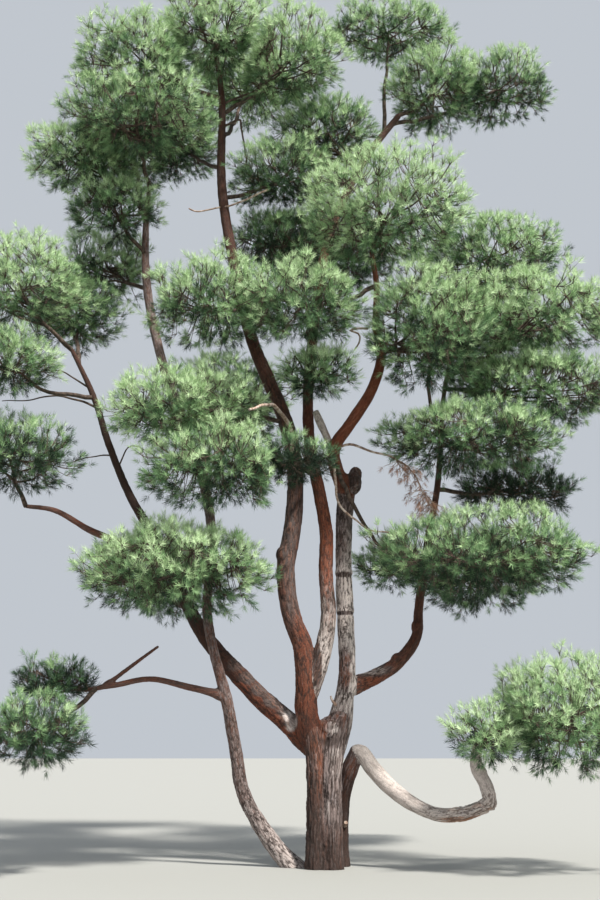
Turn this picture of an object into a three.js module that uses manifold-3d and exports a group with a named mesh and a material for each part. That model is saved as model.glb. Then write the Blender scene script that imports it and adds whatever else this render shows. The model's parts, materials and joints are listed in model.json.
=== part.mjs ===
// A tall red-barked pine with several stems from one root, after a tree in a park.
// Wood: a short fluted trunk that forks into a left and a right stem, a leaning stem and a low
// sinuous stem beside it, and the boughs they carry. Foliage: flat cloud-like masses of needles, each
// a stem with side twigs and a core that tufts of needles stand out of.
// Frame: millimetres, +Z up, +Y away from the side that is seen first, origin at the flat cut under
// the trunk.

import * as THREE from "three";
import { mergeVertices } from "three/addons/utils/BufferGeometryUtils.js";
import Module from "manifold-3d";

const wasm = await Module();
wasm.setup();

const METRE = 1000;
const SEAT_GAP = 0.35; // clear space between two pieces that meet
const GOLDEN_ANGLE = Math.PI * (3 - Math.sqrt(5));

const BARK_GREY = { color: 0x7d6a5f, roughness: 0.95, metalness: 0 };
const BARK_RED = { color: 0x9c5a3c, roughness: 0.9, metalness: 0 };
const BARK_PALE = { color: 0xb8a294, roughness: 0.9, metalness: 0 };
const NEEDLES = { color: 0x5f7f45, roughness: 0.85, metalness: 0 };
const DEAD_NEEDLES = { color: 0xa8694a, roughness: 0.9, metalness: 0 };

// The wood. A route holds a limb's bends in metres, each [x, y, z, radius], from its root to its tip.
// A root lies inside the limb that carries it, or under the ground, and is cut off there.
const LIMBS = [
  {
    name: "trunk",
    bark: BARK_GREY,
    sides: 15,
    perBend: 2,
    flare: { height: 0.25, spread: 0.1, flutes: 5, depth: 0.1 },
    route: [
      [-0.02, 0.0, -0.15, 0.235],
      [-0.02, 0.0, 0.15, 0.228],
      [-0.01, 0.0, 0.8, 0.222],
      [-0.01, 0.0, 1.35, 0.23],
      [0.01, 0.01, 1.62, 0.21],
      [0.03, 0.03, 1.8, 0.13],
    ],
  },
  {
    name: "left_fork_stem",
    bark: BARK_RED,
    sides: 9,
    route: [
      [-0.09, 0.0, 1.4, 0.165],
      [-0.23, -0.05, 1.9, 0.15],
      [-0.24, -0.1, 2.3, 0.143],
      [-0.28, -0.1, 2.75, 0.131],
      [-0.44, -0.1, 3.2, 0.122],
      [-0.51, -0.05, 3.8, 0.121],
      [-0.44, 0.0, 4.25, 0.12],
      [-0.39, 0.05, 4.7, 0.115],
      [-0.4, 0.1, 5.3, 0.107],
      [-0.53, 0.15, 5.9, 0.101],
      [-0.77, 0.2, 6.5, 0.095],
      [-1.0, 0.25, 7.1, 0.088],
      [-1.27, 0.3, 8.25, 0.079],
      [-1.46, 0.3, 9.45, 0.069],
      [-1.48, 0.3, 10.85, 0.05],
      [-1.58, 0.3, 11.6, 0.032],
    ],
  },
  {
    name: "right_fork_stem",
    bark: BARK_GREY,
    sides: 9,
    route: [
      [0.08, 0.05, 1.4, 0.17],
      [0.19, 0.07, 1.78, 0.165],
      [0.26, 0.09, 2.12, 0.128],
      [0.3, 0.1, 2.45, 0.108],
      [0.29, 0.1, 3.0, 0.112],
      [0.27, 0.1, 3.6, 0.112],
      [0.27, 0.1, 4.2, 0.107],
      [0.3, 0.1, 4.75, 0.118],
      [0.36, 0.1, 5.05, 0.105],
    ],
  },
  {
    name: "middle_red_stem",
    bark: BARK_RED,
    sides: 8,
    route: [
      [-0.2, -0.08, 2.1, 0.1],
      [-0.11, -0.12, 2.4, 0.118],
      [-0.02, -0.15, 2.72, 0.116],
      [0.05, -0.2, 3.15, 0.1],
      [0.02, -0.15, 3.7, 0.095],
      [0.03, -0.1, 4.25, 0.09],
      [-0.05, -0.05, 4.8, 0.084],
      [-0.17, 0.05, 5.4, 0.079],
      [-0.21, 0.2, 6.2, 0.075],
      [-0.09, 0.5, 7.6, 0.072],
      [0.1, 0.7, 8.8, 0.069],
      [0.62, 0.9, 10.1, 0.062],
      [1.2, 1.0, 10.95, 0.046],
    ],
  },
  {
    name: "orange_bough",
    bark: BARK_RED,
    sides: 8,
    route: [
      [0.33, 0.08, 4.8, 0.09],
      [0.17, 0.0, 5.18, 0.092],
      [0.14, -0.1, 5.42, 0.087],
      [0.38, -0.2, 5.78, 0.079],
      [0.65, -0.3, 6.2, 0.074],
      [0.79, -0.35, 6.7, 0.066],
      [0.72, -0.4, 7.05, 0.055],
      [0.73, -0.4, 7.65, 0.042],
      [0.66, -0.45, 8.15, 0.032],
    ],
  },
  {
    name: "leaning_left_stem",
    bark: BARK_GREY,
    sides: 8,
    route: [
      [-0.28, 0.15, -0.12, 0.14],
      [-0.59, 0.19, 0.19, 0.116],
      [-0.86, 0.18, 0.55, 0.1],
      [-1.06, 0.1, 0.95, 0.089],
      [-1.16, 0.0, 1.5, 0.085],
      [-1.27, -0.2, 2.1, 0.075],
      [-1.46, -0.3, 2.8, 0.065],
      [-1.53, -0.3, 3.25, 0.064],
      [-1.49, -0.1, 4.1, 0.065],
      [-1.61, 0.1, 4.9, 0.067],
      [-1.94, 0.3, 5.85, 0.07],
      [-2.29, 0.5, 6.85, 0.069],
      [-2.55, 0.65, 8.0, 0.062],
      [-2.61, 0.75, 8.9, 0.05],
      [-2.58, 0.78, 9.7, 0.036],
    ],
  },
  {
    name: "left_bough",
    bark: BARK_RED,
    sides: 8,
    perBend: 2,
    route: [
      [-0.15, 0.06, 1.5, 0.13],
      [-0.5, 0.15, 1.83, 0.134],
      [-0.87, 0.2, 2.15, 0.129],
      [-1.22, 0.25, 2.51, 0.117],
      [-1.59, 0.22, 2.93, 0.101],
      [-1.86, 0.15, 3.4, 0.088],
      [-2.23, 0.05, 4.15, 0.07],
      [-2.62, 0.0, 4.8, 0.057],
      [-2.92, -0.05, 5.5, 0.049],
      [-3.14, -0.1, 6.15, 0.042],
      [-3.45, -0.2, 6.8, 0.03],
    ],
  },
  {
    name: "right_bough",
    bark: BARK_RED,
    sides: 8,
    perBend: 2,
    route: [
      [0.3, 0.12, 2.25, 0.1],
      [0.68, 0.35, 2.4, 0.104],
      [1.01, 0.45, 2.61, 0.088],
      [1.26, 0.55, 2.95, 0.076],
      [1.31, 0.6, 3.35, 0.062],
      [1.44, 0.6, 4.2, 0.054],
      [1.6, 0.6, 5.0, 0.047],
      [1.67, 0.6, 5.65, 0.041],
      [1.74, 0.55, 6.45, 0.034],
      [1.95, 0.45, 7.3, 0.026],
    ],
  },
  {
    name: "low_stem",
    bark: BARK_GREY,
    sides: 8,
    perBend: 2,
    route: [
      [0.21, 0.3, -0.1, 0.14],
      [0.2, 0.3, 0.2, 0.11],
      [0.21, 0.3, 0.5, 0.099],
      [0.24, 0.28, 0.85, 0.099],
      [0.32, 0.2, 1.18, 0.106],
      [0.41, 0.13, 1.4, 0.1],
    ],
  },
  {
    name: "low_limb",
    bark: BARK_PALE,
    sides: 8,
    perBend: 2,
    route: [
      [0.36, 0.17, 1.32, 0.09],
      [0.46, 0.11, 1.42, 0.107],
      [0.61, 0.01, 1.24, 0.106],
      [0.83, -0.1, 1.0, 0.102],
      [1.1, -0.25, 0.8, 0.093],
      [1.39, -0.4, 0.68, 0.083],
      [1.7, -0.5, 0.69, 0.084],
      [1.98, -0.55, 0.79, 0.08],
    ],
  },
  {
    name: "low_limb_end",
    bark: BARK_PALE,
    sides: 8,
    perBend: 2,
    route: [
      [1.93, -0.54, 0.77, 0.075],
      [2.02, -0.56, 0.87, 0.083],
      [1.97, -0.58, 1.06, 0.084],
      [1.87, -0.6, 1.27, 0.082],
      [1.9, -0.62, 1.5, 0.066],
      [2.12, -0.66, 1.72, 0.046],
    ],
  },
  {
    name: "left_side_branch",
    bark: BARK_RED,
    sides: 7,
    route: [
      [-1.29, -0.2, 2.14, 0.05],
      [-1.73, -0.3, 2.24, 0.045],
      [-2.23, -0.4, 2.34, 0.036],
      [-2.66, -0.5, 2.26, 0.036],
      [-3.0, -0.55, 2.2, 0.028],
    ],
    fork: [
      [-2.8, -0.5, 2.24, 0.029],
      [-2.44, -0.4, 2.53, 0.026],
      [-2.15, -0.3, 2.76, 0.02],
    ],
  },
  {
    name: "left_far_branch",
    bark: BARK_RED,
    sides: 7,
    route: [
      [-2.16, 0.07, 4.02, 0.055],
      [-2.62, 0.2, 4.15, 0.053],
      [-3.17, 0.35, 4.37, 0.046],
      [-3.71, 0.4, 4.67, 0.039],
      [-4.1, 0.35, 4.72, 0.03],
    ],
  },
  {
    name: "broken_stub",
    bark: BARK_PALE,
    sides: 7,
    perBend: 2,
    route: [
      [0.14, -0.08, 5.36, 0.05],
      [0.02, -0.05, 5.66, 0.05],
      [-0.06, -0.05, 5.84, 0.056],
      [-0.11, -0.05, 5.97, 0.045],
    ],
  },
];

// The dead spray: a thin branch that droops, with its brown needles still on it.
const DEAD_SPRAY = {
  name: "dead_spray",
  route: [
    [0.18, -0.1, 5.44, 0.022],
    [0.36, -0.17, 5.47, 0.022],
    [0.7, -0.25, 5.33, 0.018],
    [0.95, -0.3, 5.25, 0.015],
    [1.15, -0.4, 5.05, 0.012],
    [1.3, -0.45, 4.75, 0.01],
    [1.42, -0.5, 4.48, 0.007],
  ],
  tuftsFrom: 0.6, // of its length
  tufts: 7,
  tuftLength: 0.24,
  tuftDroop: 0.9, // how far a tuft hangs, for each metre it stands out
  seed: 7,
};

// The foliage. Each mass stands at the end of its own stem, which leaves a limb at a bend of the
// limb's route, counted from 0 at its root. A row holds the mass's name, the limb, the bend, the
// centre, the half sizes, and a bend of the stem where that shows. All are metres.
const MASSES = [
  // the top, round the left fork's tip
  ["crown_top", "left_fork_stem", 15, [-1.56, -0.15, 11.66], [0.85, 0.75, 0.6]],
  ["crown_top_left", "left_fork_stem", 14, [-2.65, -0.2, 11.16], [0.92, 0.8, 0.55]],
  ["crown_top_right", "left_fork_stem", 13.8, [-0.51, 0, 11.28], [0.82, 0.8, 0.58]],
  ["crown_top_back", "left_fork_stem", 13.5, [-1.15, 1.75, 11.85], [0.9, 0.85, 0.5]],
  // the upper left, on the leaning stem
  ["upper_left_front", "leaning_left_stem", 14, [-2.62, -0.6, 10.06], [0.98, 0.88, 0.5]],
  ["upper_left_tip", "leaning_left_stem", 13.6, [-3.43, 0.3, 9.87], [0.85, 0.85, 0.47]],
  ["upper_left_inner", "left_fork_stem", 13.2, [-2.2, 1.3, 10.65], [0.66, 0.75, 0.48]],
  ["upper_left_back", "leaning_left_stem", 13.2, [-3.0, 2.0, 10.9], [0.85, 0.85, 0.56]],
  ["upper_left_low", "leaning_left_stem", 12.6, [-3.01, 0.25, 9.09], [0.65, 0.62, 0.4]],
  ["upper_left_fringe", "leaning_left_stem", 12, [-3.23, 1.25, 8.55], [0.7, 0.65, 0.45]],
  // the left edge, on the left bough
  ["left_edge_high", "left_bough", 10, [-4.15, -0.5, 7.55], [0.85, 0.9, 0.54]],
  ["left_bough_top", "left_bough", 9.7, [-3.56, 0.6, 7.56], [0.62, 0.75, 0.4]],
  ["left_edge_middle", "left_bough", 9, [-4.2, -0.75, 6.45], [0.65, 0.65, 0.38], [-3.7, -0.35, 6.15]],
  ["left_edge_low", "left_far_branch", 4, [-4.2, -0.3, 5.25], [0.82, 0.85, 0.45]],
  // the left middle
  ["middle_left_high", "left_fork_stem", 11.4, [-1.49, -0.55, 7.3], [0.88, 0.85, 0.5]],
  ["middle_left", "leaning_left_stem", 9.3, [-1.85, -0.95, 5.72], [1, 0.9, 0.42]],
  ["middle_left_low", "left_fork_stem", 8.9, [-1.35, -1.4, 4.87], [0.9, 0.85, 0.44], [-1.0, -0.1, 5.9]],
  ["middle_front", "middle_red_stem", 6.6, [-0.36, -1.25, 4.99], [0.52, 0.6, 0.24]],
  ["middle_left_back", "left_fork_stem", 10, [-1.4, 2.0, 6.65], [0.95, 0.95, 0.58]],
  ["low_left", "left_bough", 5.5, [-1.85, -0.95, 3.65], [1.1, 0.95, 0.52]],
  ["low_left_back", "left_bough", 4.8, [-2.45, 1.75, 3.95], [0.95, 0.95, 0.52]],
  ["side_branch_tip", "left_side_branch", 4, [-3.4, -0.6, 2.28], [0.5, 0.5, 0.27]],
  ["low_far_left", "left_side_branch", 3.7, [-3.5, -1.3, 1.65], [0.62, 0.7, 0.38]],
  // the upper right, on the middle red stem
  ["upper_right_inner", "middle_red_stem", 10.9, [0.06, 0.95, 10.6], [0.8, 0.8, 0.5]],
  ["upper_middle", "left_fork_stem", 12.85, [-0.56, 0.45, 9.65], [0.78, 0.74, 0.42]],
  ["upper_right_top", "middle_red_stem", 11.6, [1.06, 1, 12.38], [0.95, 0.75, 0.36]],
  ["upper_right", "middle_red_stem", 12, [1.79, 1.05, 11.38], [0.8, 0.78, 0.56]],
  ["upper_right_far", "middle_red_stem", 11.8, [2.77, 1.25, 11.52], [0.8, 0.7, 0.48]],
  ["inner_dark", "middle_red_stem", 9.9, [-0.57, 0.9, 8.78], [0.78, 0.75, 0.52]],
  ["upper_back", "middle_red_stem", 9.8, [0.2, 2.3, 9.2], [1.0, 0.85, 0.64]],
  // the right middle
  ["bright_front_top", "orange_bough", 8, [0.82, -0.8, 8.5], [1.04, 1, 0.68]],
  ["bright_front_low", "orange_bough", 7, [-0.32, -1.15, 7.07], [0.85, 0.8, 0.46]],
  ["centre_front", "middle_red_stem", 8.2, [-0.08, -0.65, 6.35], [0.5, 0.5, 0.34]],
  ["right_high", "right_bough", 9, [2.43, 0.6, 8.46], [1, 0.85, 0.5]],
  ["right_middle", "right_bough", 8.2, [2.86, -0.15, 7.27], [1.15, 0.95, 0.52], [2.3, 0.1, 6.75]],
  ["right_inner", "orange_bough", 5, [1.4, -0.85, 6.84], [0.84, 0.85, 0.72]],
  ["right_middle_back", "right_bough", 8.8, [2.45, 2.1, 7.7], [0.98, 0.95, 0.62]],
  ["right_edge", "right_bough", 8, [2.95, 0.15, 6.35], [1.15, 0.9, 0.5]],
  ["right_layer", "right_bough", 7, [1.95, -0.45, 5.48], [1.15, 0.9, 0.43]],
  ["right_shaded", "right_bough", 6, [2.78, 1.1, 5.09], [0.8, 0.8, 0.36]],
  ["right_low", "right_bough", 4.9, [2.02, -0.65, 3.86], [1.3, 1, 0.5]],
  ["right_low_inner", "orange_bough", 1.5, [0.95, 0.75, 3.95], [0.5, 0.55, 0.32], [0.45, -0.12, 4.55]],
  ["right_low_back", "right_bough", 4.6, [2.4, 2.4, 4.0], [0.95, 0.95, 0.52]],
  // the low limb's end
  ["low_right", "low_limb_end", 5, [3.0, -0.75, 1.82], [1.1, 1.1, 0.64]],
  ["low_right_small", "low_limb_end", 3.8, [1.99, -0.88, 1.64], [0.48, 0.5, 0.32]],
];

// One mass, in metres and in shares of the way from its centre to the edge of its space.
const MASS_WIDTH = 1.12; // the measured pads end where their tufts thin out
const MASS_HEIGHT = 1.45; // their dark undersides hang below the lit part that was measured
const STEM_RADIUS = 0.036;
const STEM_TIP_RADIUS = 0.018;
const SIDE_TWIGS = 2; // on a stem whose bend shows below its mass
const TWIG_RADIUS = 0.02;
const TWIG_SHARE = 0.6; // of the way to the edge, where a side twig ends
const TWIG_TESTS = [0.05, 0.2, 0.35, 0.5, 0.65]; // shares of its length where it has to be clear
const TWIG_MARGIN = 1.05; // how far out of another mass's space it stays, in shares of that space
const CORE_SHARE = 0.6;
const TOOTH_SHARE = 0.87;
const TIP_SHARE = 0.97;
const UNEVENNESS = 0.09;
const FLAT_BELOW = 0.8; // the underside's share of the full height
const TOOTH_LEAN = 1.1; // how far a tooth leans from its side's edge towards the tip
const TIP_WANDER = 0.5; // how far a tip may stand off the middle of its side
const FIRST_SEED = 101;
const MASS_GAP = 0.015; // clear space between two masses
const LIMB_CLEARANCE = 0.06;
const STEM_CLEARANCE = 0.04;
const STEM_SAG = 0.06; // of its length, at its middle
const SHRINK = 0.9; // a tuft that would touch wood is drawn in by this until it is clear
const SHRINK_TRIES = 12;

// A small generator of even random numbers from 0 to 1, the same on every run.
function seededRandom(seed) {
  let state = seed >>> 0;
  return () => {
    state = (state + 0x6d2b79f5) >>> 0;
    let mixed = Math.imul(state ^ (state >>> 15), 1 | state);
    mixed = (mixed + Math.imul(mixed ^ (mixed >>> 7), 61 | mixed)) ^ mixed;
    return ((mixed ^ (mixed >>> 14)) >>> 0) / 4294967296;
  };
}

const vector = ([x, y, z]) => new THREE.Vector3(x, y, z).multiplyScalar(METRE);
const metres = (v) => v.toArray().map((value) => value / METRE);
const curveThrough = (route) =>
  new THREE.CatmullRomCurve3(route.map(vector), false, "centripetal");

function solidFrom(geometry) {
  const plain = geometry.clone();
  for (const name of ["normal", "uv"]) plain.deleteAttribute(name);
  const merged = mergeVertices(plain, 1e-3);
  return new wasm.Manifold(
    new wasm.Mesh({
      numProp: 3,
      vertProperties: new Float32Array(merged.attributes.position.array),
      triVerts: new Uint32Array(merged.index.array),
    }),
  );
}

function geometryFrom(solid, origin) {
  const mesh = solid.getMesh();
  const geometry = new THREE.BufferGeometry();
  geometry.setAttribute("position", new THREE.BufferAttribute(mesh.vertProperties, 3));
  geometry.setIndex(new THREE.BufferAttribute(mesh.triVerts, 1));
  geometry.translate(-origin.x, -origin.y, -origin.z);
  geometry.computeVertexNormals();
  return geometry;
}

const largestPiece = (solid) => solid.decompose().sort((a, b) => b.volume() - a.volume())[0];

// A tapering tube along a route: a cylinder whose rings are laid square to the route's curve.
function tube(route, { sides, perBend = 1, flare, extra = 0 }) {
  const curve = curveThrough(route);
  const rings = (route.length - 1) * perBend;
  const frames = curve.computeFrenetFrames(rings, false);
  const geometry = new THREE.CylinderGeometry(1, 1, 1, sides, rings);
  const position = geometry.attributes.position;
  const spread = extra / Math.cos(Math.PI / sides);
  const across = new THREE.Vector3();
  for (let i = 0; i < position.count; i += 1) {
    const share = THREE.MathUtils.clamp(position.getY(i) + 0.5, 0, 1);
    const ring = Math.round(share * rings);
    const bend = Math.min(Math.floor(ring / perBend), route.length - 2);
    const between = ring / perBend - bend;
    const centre = curve.getPoint(ring / rings);
    let radius = METRE * THREE.MathUtils.lerp(route[bend][3], route[bend + 1][3], between);
    const angle = Math.atan2(position.getZ(i), position.getX(i));
    if (flare) {
      const low = Math.exp(-Math.max(centre.z, 0) / (flare.height * METRE));
      const flute = Math.cos(flare.flutes * angle);
      radius *= (1 + flare.spread * low) * (1 + flare.depth * flute * (0.35 + 0.65 * low));
    }
    across.copy(frames.normals[ring]).multiplyScalar(position.getX(i));
    across.addScaledVector(frames.binormals[ring], -position.getZ(i));
    centre.addScaledVector(across, radius + spread);
    if (ring === 0) centre.addScaledVector(frames.tangents[ring], -extra);
    if (ring === rings) centre.addScaledVector(frames.tangents[ring], extra);
    position.setXYZ(i, centre.x, centre.y, centre.z);
  }
  return solidFrom(geometry);
}

// Balls along a route that stand for the wood where a mass has to keep clear of it.
function ballsAlong(route, clearance) {
  const curve = curveThrough(route);
  const perBend = 8;
  const steps = (route.length - 1) * perBend;
  return Array.from({ length: steps + 1 }, (_, i) => {
    const bend = Math.min(Math.floor(i / perBend), route.length - 2);
    const radius = (Math.max(route[bend][3], route[bend + 1][3]) + clearance) * METRE;
    return { centre: curve.getPoint(i / steps), radius };
  });
}

function buildLimb(limb, grownLimbs) {
  const runs = [limb.route, ...(limb.fork ? [limb.fork] : [])];
  const whole = (extra) =>
    wasm.Manifold.union(runs.map((route) => tube(route, { ...limb, extra })));
  let solid = whole(0).trimByPlane([0, 0, 1], 0);
  for (const other of grownLimbs) solid = solid.subtract(other);
  return { solid: largestPiece(solid), grown: whole(SEAT_GAP) };
}

// A side twig of a mass: a three-sided cone.
function twig(from, to, radius) {
  const along = new THREE.Vector3().subVectors(to, from);
  const geometry = new THREE.CylinderGeometry(radius * 0.5, radius, along.length(), 3, 1);
  geometry.translate(0, along.length() / 2, 0);
  const turn = new THREE.Quaternion().setFromUnitVectors(
    new THREE.Vector3(0, 1, 0),
    along.normalize(),
  );
  geometry.applyQuaternion(turn);
  geometry.translate(from.x, from.y, from.z);
  return solidFrom(geometry);
}

// A tuft of needles: a pyramid whose sides are each drawn out into a prong beside its tip. The
// places across and along it are shares of its length.
const PRONGS = 3;
const TUFT_ROOT = { out: 0.16, along: -0.12 };
const TUFT_PRONG = { out: 0.4, along: 0.62 };
function tuft(root, direction, length, turn) {
  const side = new THREE.Vector3(0, 0, 1).cross(direction).normalize();
  const up = new THREE.Vector3().crossVectors(direction, side);
  const place = (angle, { out, along }) =>
    root
      .clone()
      .addScaledVector(direction, along * length)
      .addScaledVector(side, Math.cos(angle) * out * length)
      .addScaledVector(up, Math.sin(angle) * out * length);
  const corners = [];
  const prongs = [];
  for (let i = 0; i < PRONGS; i += 1) {
    const angle = turn + (i * 2 * Math.PI) / PRONGS;
    corners.push(place(angle, TUFT_ROOT));
    prongs.push(place(angle + Math.PI / PRONGS, TUFT_PRONG));
  }
  const tip = place(0, { out: 0, along: 1 });
  const faces = [];
  for (let i = 0; i < PRONGS; i += 1) {
    const next = corners[(i + 1) % PRONGS];
    faces.push([corners[i], next, prongs[i]], [next, tip, prongs[i]], [tip, corners[i], prongs[i]]);
  }
  faces.push([...corners].reverse());
  return solidFrom(new THREE.BufferGeometry().setFromPoints(faces.flat()));
}

// The planes that keep two masses apart, each on the line between their centres.
function planesBetween(mass, others) {
  const planes = [];
  for (const other of others) {
    if (other === mass) continue;
    const between = new THREE.Vector3().subVectors(other.middle, mass.middle);
    const spans = new THREE.Vector3().addVectors(mass.size, other.size);
    if (["x", "y", "z"].some((axis) => Math.abs(between[axis]) > spans[axis])) continue;
    const reach = (m) => 1 / between.clone().divide(m.size).length();
    const share = reach(mass) / (reach(mass) + reach(other));
    const normal = between.clone();
    for (const axis of ["x", "y", "z"])
      normal[axis] /= (mass.size[axis] ** 2 + other.size[axis] ** 2) / 2;
    normal.normalize();
    const point = mass.middle.clone().addScaledVector(between, share);
    planes.push({ normal, room: normal.dot(point.sub(mass.middle)) - (MASS_GAP * METRE) / 2 });
  }
  return planes;
}

// A core with tufts of needles standing out of it. Every side of an icosahedron is drawn out into a
// tuft of one tip and three teeth, each as far from the centre as its space and the wood allow.
function tuftedBall(mass, obstacles, random) {
  const { middle, size, planes } = mass;
  const turn = new THREE.Euler(random() * 6, random() * 6, random() * 6);
  const ball = new THREE.IcosahedronGeometry(1, 0);
  ball.applyMatrix4(new THREE.Matrix4().makeRotationFromEuler(turn));
  const position = ball.attributes.position;

  const place = (direction, share) => {
    const heading = direction.clone().multiply(size);
    if (heading.z < 0) heading.z *= FLAT_BELOW;
    heading.multiplyScalar(share * (1 + UNEVENNESS * (2 * random() - 1)));
    for (const { normal, room } of planes) {
      const ahead = normal.dot(heading);
      if (ahead > room) heading.multiplyScalar(room / ahead);
    }
    const point = middle.clone().add(heading);
    for (let tries = 0; tries < SHRINK_TRIES; tries += 1) {
      const free = obstacles.every(({ centre, radius }) => centre.distanceTo(point) > radius);
      if (free) return point;
      heading.multiplyScalar(SHRINK);
      point.copy(middle).add(heading);
    }
    return point;
  };

  const shared = new Map();
  const cornerOf = (direction) => {
    const key = direction.toArray().map((value) => Math.round(value * 100)).join();
    if (!shared.has(key)) shared.set(key, place(direction, CORE_SHARE));
    return shared.get(key);
  };
  const points = [];
  for (let face = 0; face < position.count; face += 3) {
    const corners = [0, 1, 2].map((i) => new THREE.Vector3().fromBufferAttribute(position, face + i));
    const towards = new THREE.Vector3();
    for (const corner of corners) towards.addScaledVector(corner, 1 + TIP_WANDER * random());
    towards.normalize();
    const tip = place(towards, TIP_SHARE);
    for (let i = 0; i < 3; i += 1) {
      const one = corners[i];
      const two = corners[(i + 1) % 3];
      const toTooth = one.clone().add(two).addScaledVector(towards, TOOTH_LEAN).normalize();
      const tooth = place(toTooth, TOOTH_SHARE);
      const [a, b] = [cornerOf(one), cornerOf(two)];
      points.push(a, b, tooth, b, tip, tooth, tip, a, tooth);
    }
  }
  return solidFrom(new THREE.BufferGeometry().setFromPoints(points));
}

function stemRouteOf(mass, limbs) {
  const carrier = limbs.get(mass.on);
  const root = carrier.curve.getPoint(mass.at / (carrier.route.length - 1));
  const bend = root.clone().lerp(mass.middle, 0.5);
  bend.z -= mass.middle.distanceTo(root) * STEM_SAG;
  const route = [metres(root), mass.by ?? metres(bend), metres(mass.middle)];
  route.forEach((stop, i) => {
    stop[3] = THREE.MathUtils.lerp(STEM_RADIUS, STEM_TIP_RADIUS, i / (route.length - 1));
  });
  return route;
}

function buildMass(mass, limbs, masses, seed) {
  const random = seededRandom(seed);
  const strangers = masses.filter((other) => other !== mass);
  const wood = [...limbs.values()].flatMap((limb) => limb.samples);
  const passing = strangers.flatMap((other) => other.stemSamples);
  const ball = tuftedBall(mass, [...wood, ...passing], random);
  const pieces = [ball, tube(mass.stemRoute, { sides: 4 })];
  const from = vector(mass.stemRoute[1]);
  const bare = (point) =>
    [...wood, ...passing].every(({ centre, radius }) => centre.distanceTo(point) > radius) &&
    strangers.every(
      (other) => point.clone().sub(other.middle).divide(other.size).length() > TWIG_MARGIN,
    );
  const sideTwigs = from.clone().sub(mass.middle).divide(mass.size).length() > 1 ? SIDE_TWIGS : 0;
  for (let i = 0; i < sideTwigs; i += 1) {
    const azimuth = random() * Math.PI + i * Math.PI;
    const out = new THREE.Vector3(Math.cos(azimuth), Math.sin(azimuth), 0).multiply(mass.size);
    const end = mass.middle.clone().addScaledVector(out, TWIG_SHARE);
    const stops = TWIG_TESTS.map((share) => from.clone().lerp(end, share));
    const reach = end.clone().sub(mass.middle);
    const inside = mass.planes.every(
      ({ normal, room }) => normal.dot(reach) < room - TWIG_RADIUS * METRE,
    );
    if (inside && stops.every(bare)) pieces.push(twig(from, end, TWIG_RADIUS * METRE));
  }
  let solid = wasm.Manifold.union(pieces);
  for (const limb of limbs.values()) solid = solid.subtract(limb.grown);
  for (const other of strangers) solid = solid.subtract(other.grownStem);
  return largestPiece(solid);
}

function buildDeadSpray(spray, limbs) {
  const random = seededRandom(spray.seed);
  const curve = curveThrough(spray.route);
  const pieces = [tube(spray.route, { sides: 5, perBend: 1 })];
  for (let i = 0; i < spray.tufts; i += 1) {
    const share = THREE.MathUtils.lerp(spray.tuftsFrom, 1, i / (spray.tufts - 1));
    const at = curve.getPoint(share);
    const azimuth = i * GOLDEN_ANGLE;
    const out = new THREE.Vector3(Math.cos(azimuth), Math.sin(azimuth), -spray.tuftDroop);
    const direction = out.normalize();
    pieces.push(tuft(at, direction, spray.tuftLength * METRE, random() * Math.PI));
  }
  let solid = wasm.Manifold.union(pieces);
  for (const limb of limbs.values()) solid = solid.subtract(limb.grown);
  return largestPiece(solid);
}

function addNode(group, name, solid, origin, finish) {
  const material = new THREE.MeshStandardMaterial({ ...finish, flatShading: true });
  const mesh = new THREE.Mesh(geometryFrom(solid, origin), material);
  mesh.name = name;
  mesh.position.copy(origin);
  group.add(mesh);
}

const tree = new THREE.Group();
const wood = new THREE.Group();
const foliage = new THREE.Group();
tree.add(wood, foliage);

const limbs = new Map();
for (const limb of LIMBS) {
  const { solid, grown } = buildLimb(limb, [...limbs.values()].map((made) => made.grown));
  const curve = curveThrough(limb.route);
  const samples = ballsAlong(limb.route, LIMB_CLEARANCE);
  limbs.set(limb.name, { route: limb.route, curve, samples, grown });
  const [first] = limb.route;
  addNode(wood, limb.name, solid, vector([first[0], first[1], Math.max(first[2], 0)]), limb.bark);
}

const deadSpray = buildDeadSpray(DEAD_SPRAY, limbs);
addNode(wood, DEAD_SPRAY.name, deadSpray, vector(DEAD_SPRAY.route[0]), DEAD_NEEDLES);

const placed = MASSES.map(([name, on, at, centre, half, by]) => ({
  name,
  on,
  at,
  by,
  middle: vector(centre),
  size: vector(half).multiply(new THREE.Vector3(MASS_WIDTH, MASS_WIDTH, MASS_HEIGHT)),
}));
placed.forEach((mass) => {
  mass.planes = planesBetween(mass, placed);
  mass.stemRoute = stemRouteOf(mass, limbs);
  mass.grownStem = tube(mass.stemRoute, { sides: 4, extra: SEAT_GAP });
  mass.stemSamples = ballsAlong(mass.stemRoute, STEM_CLEARANCE);
});
placed.forEach((mass, index) => {
  const solid = buildMass(mass, limbs, placed, FIRST_SEED + index);
  addNode(foliage, mass.name, solid, mass.middle, NEEDLES);
});

export default tree;
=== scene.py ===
# A tall red-barked pine with several stems from one root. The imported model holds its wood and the
# spaces of its foliage. Here they get their bark, twigs and needles.

import json
import math
import random

import bmesh
import bpy
import numpy as np
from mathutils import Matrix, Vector, noise

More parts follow.
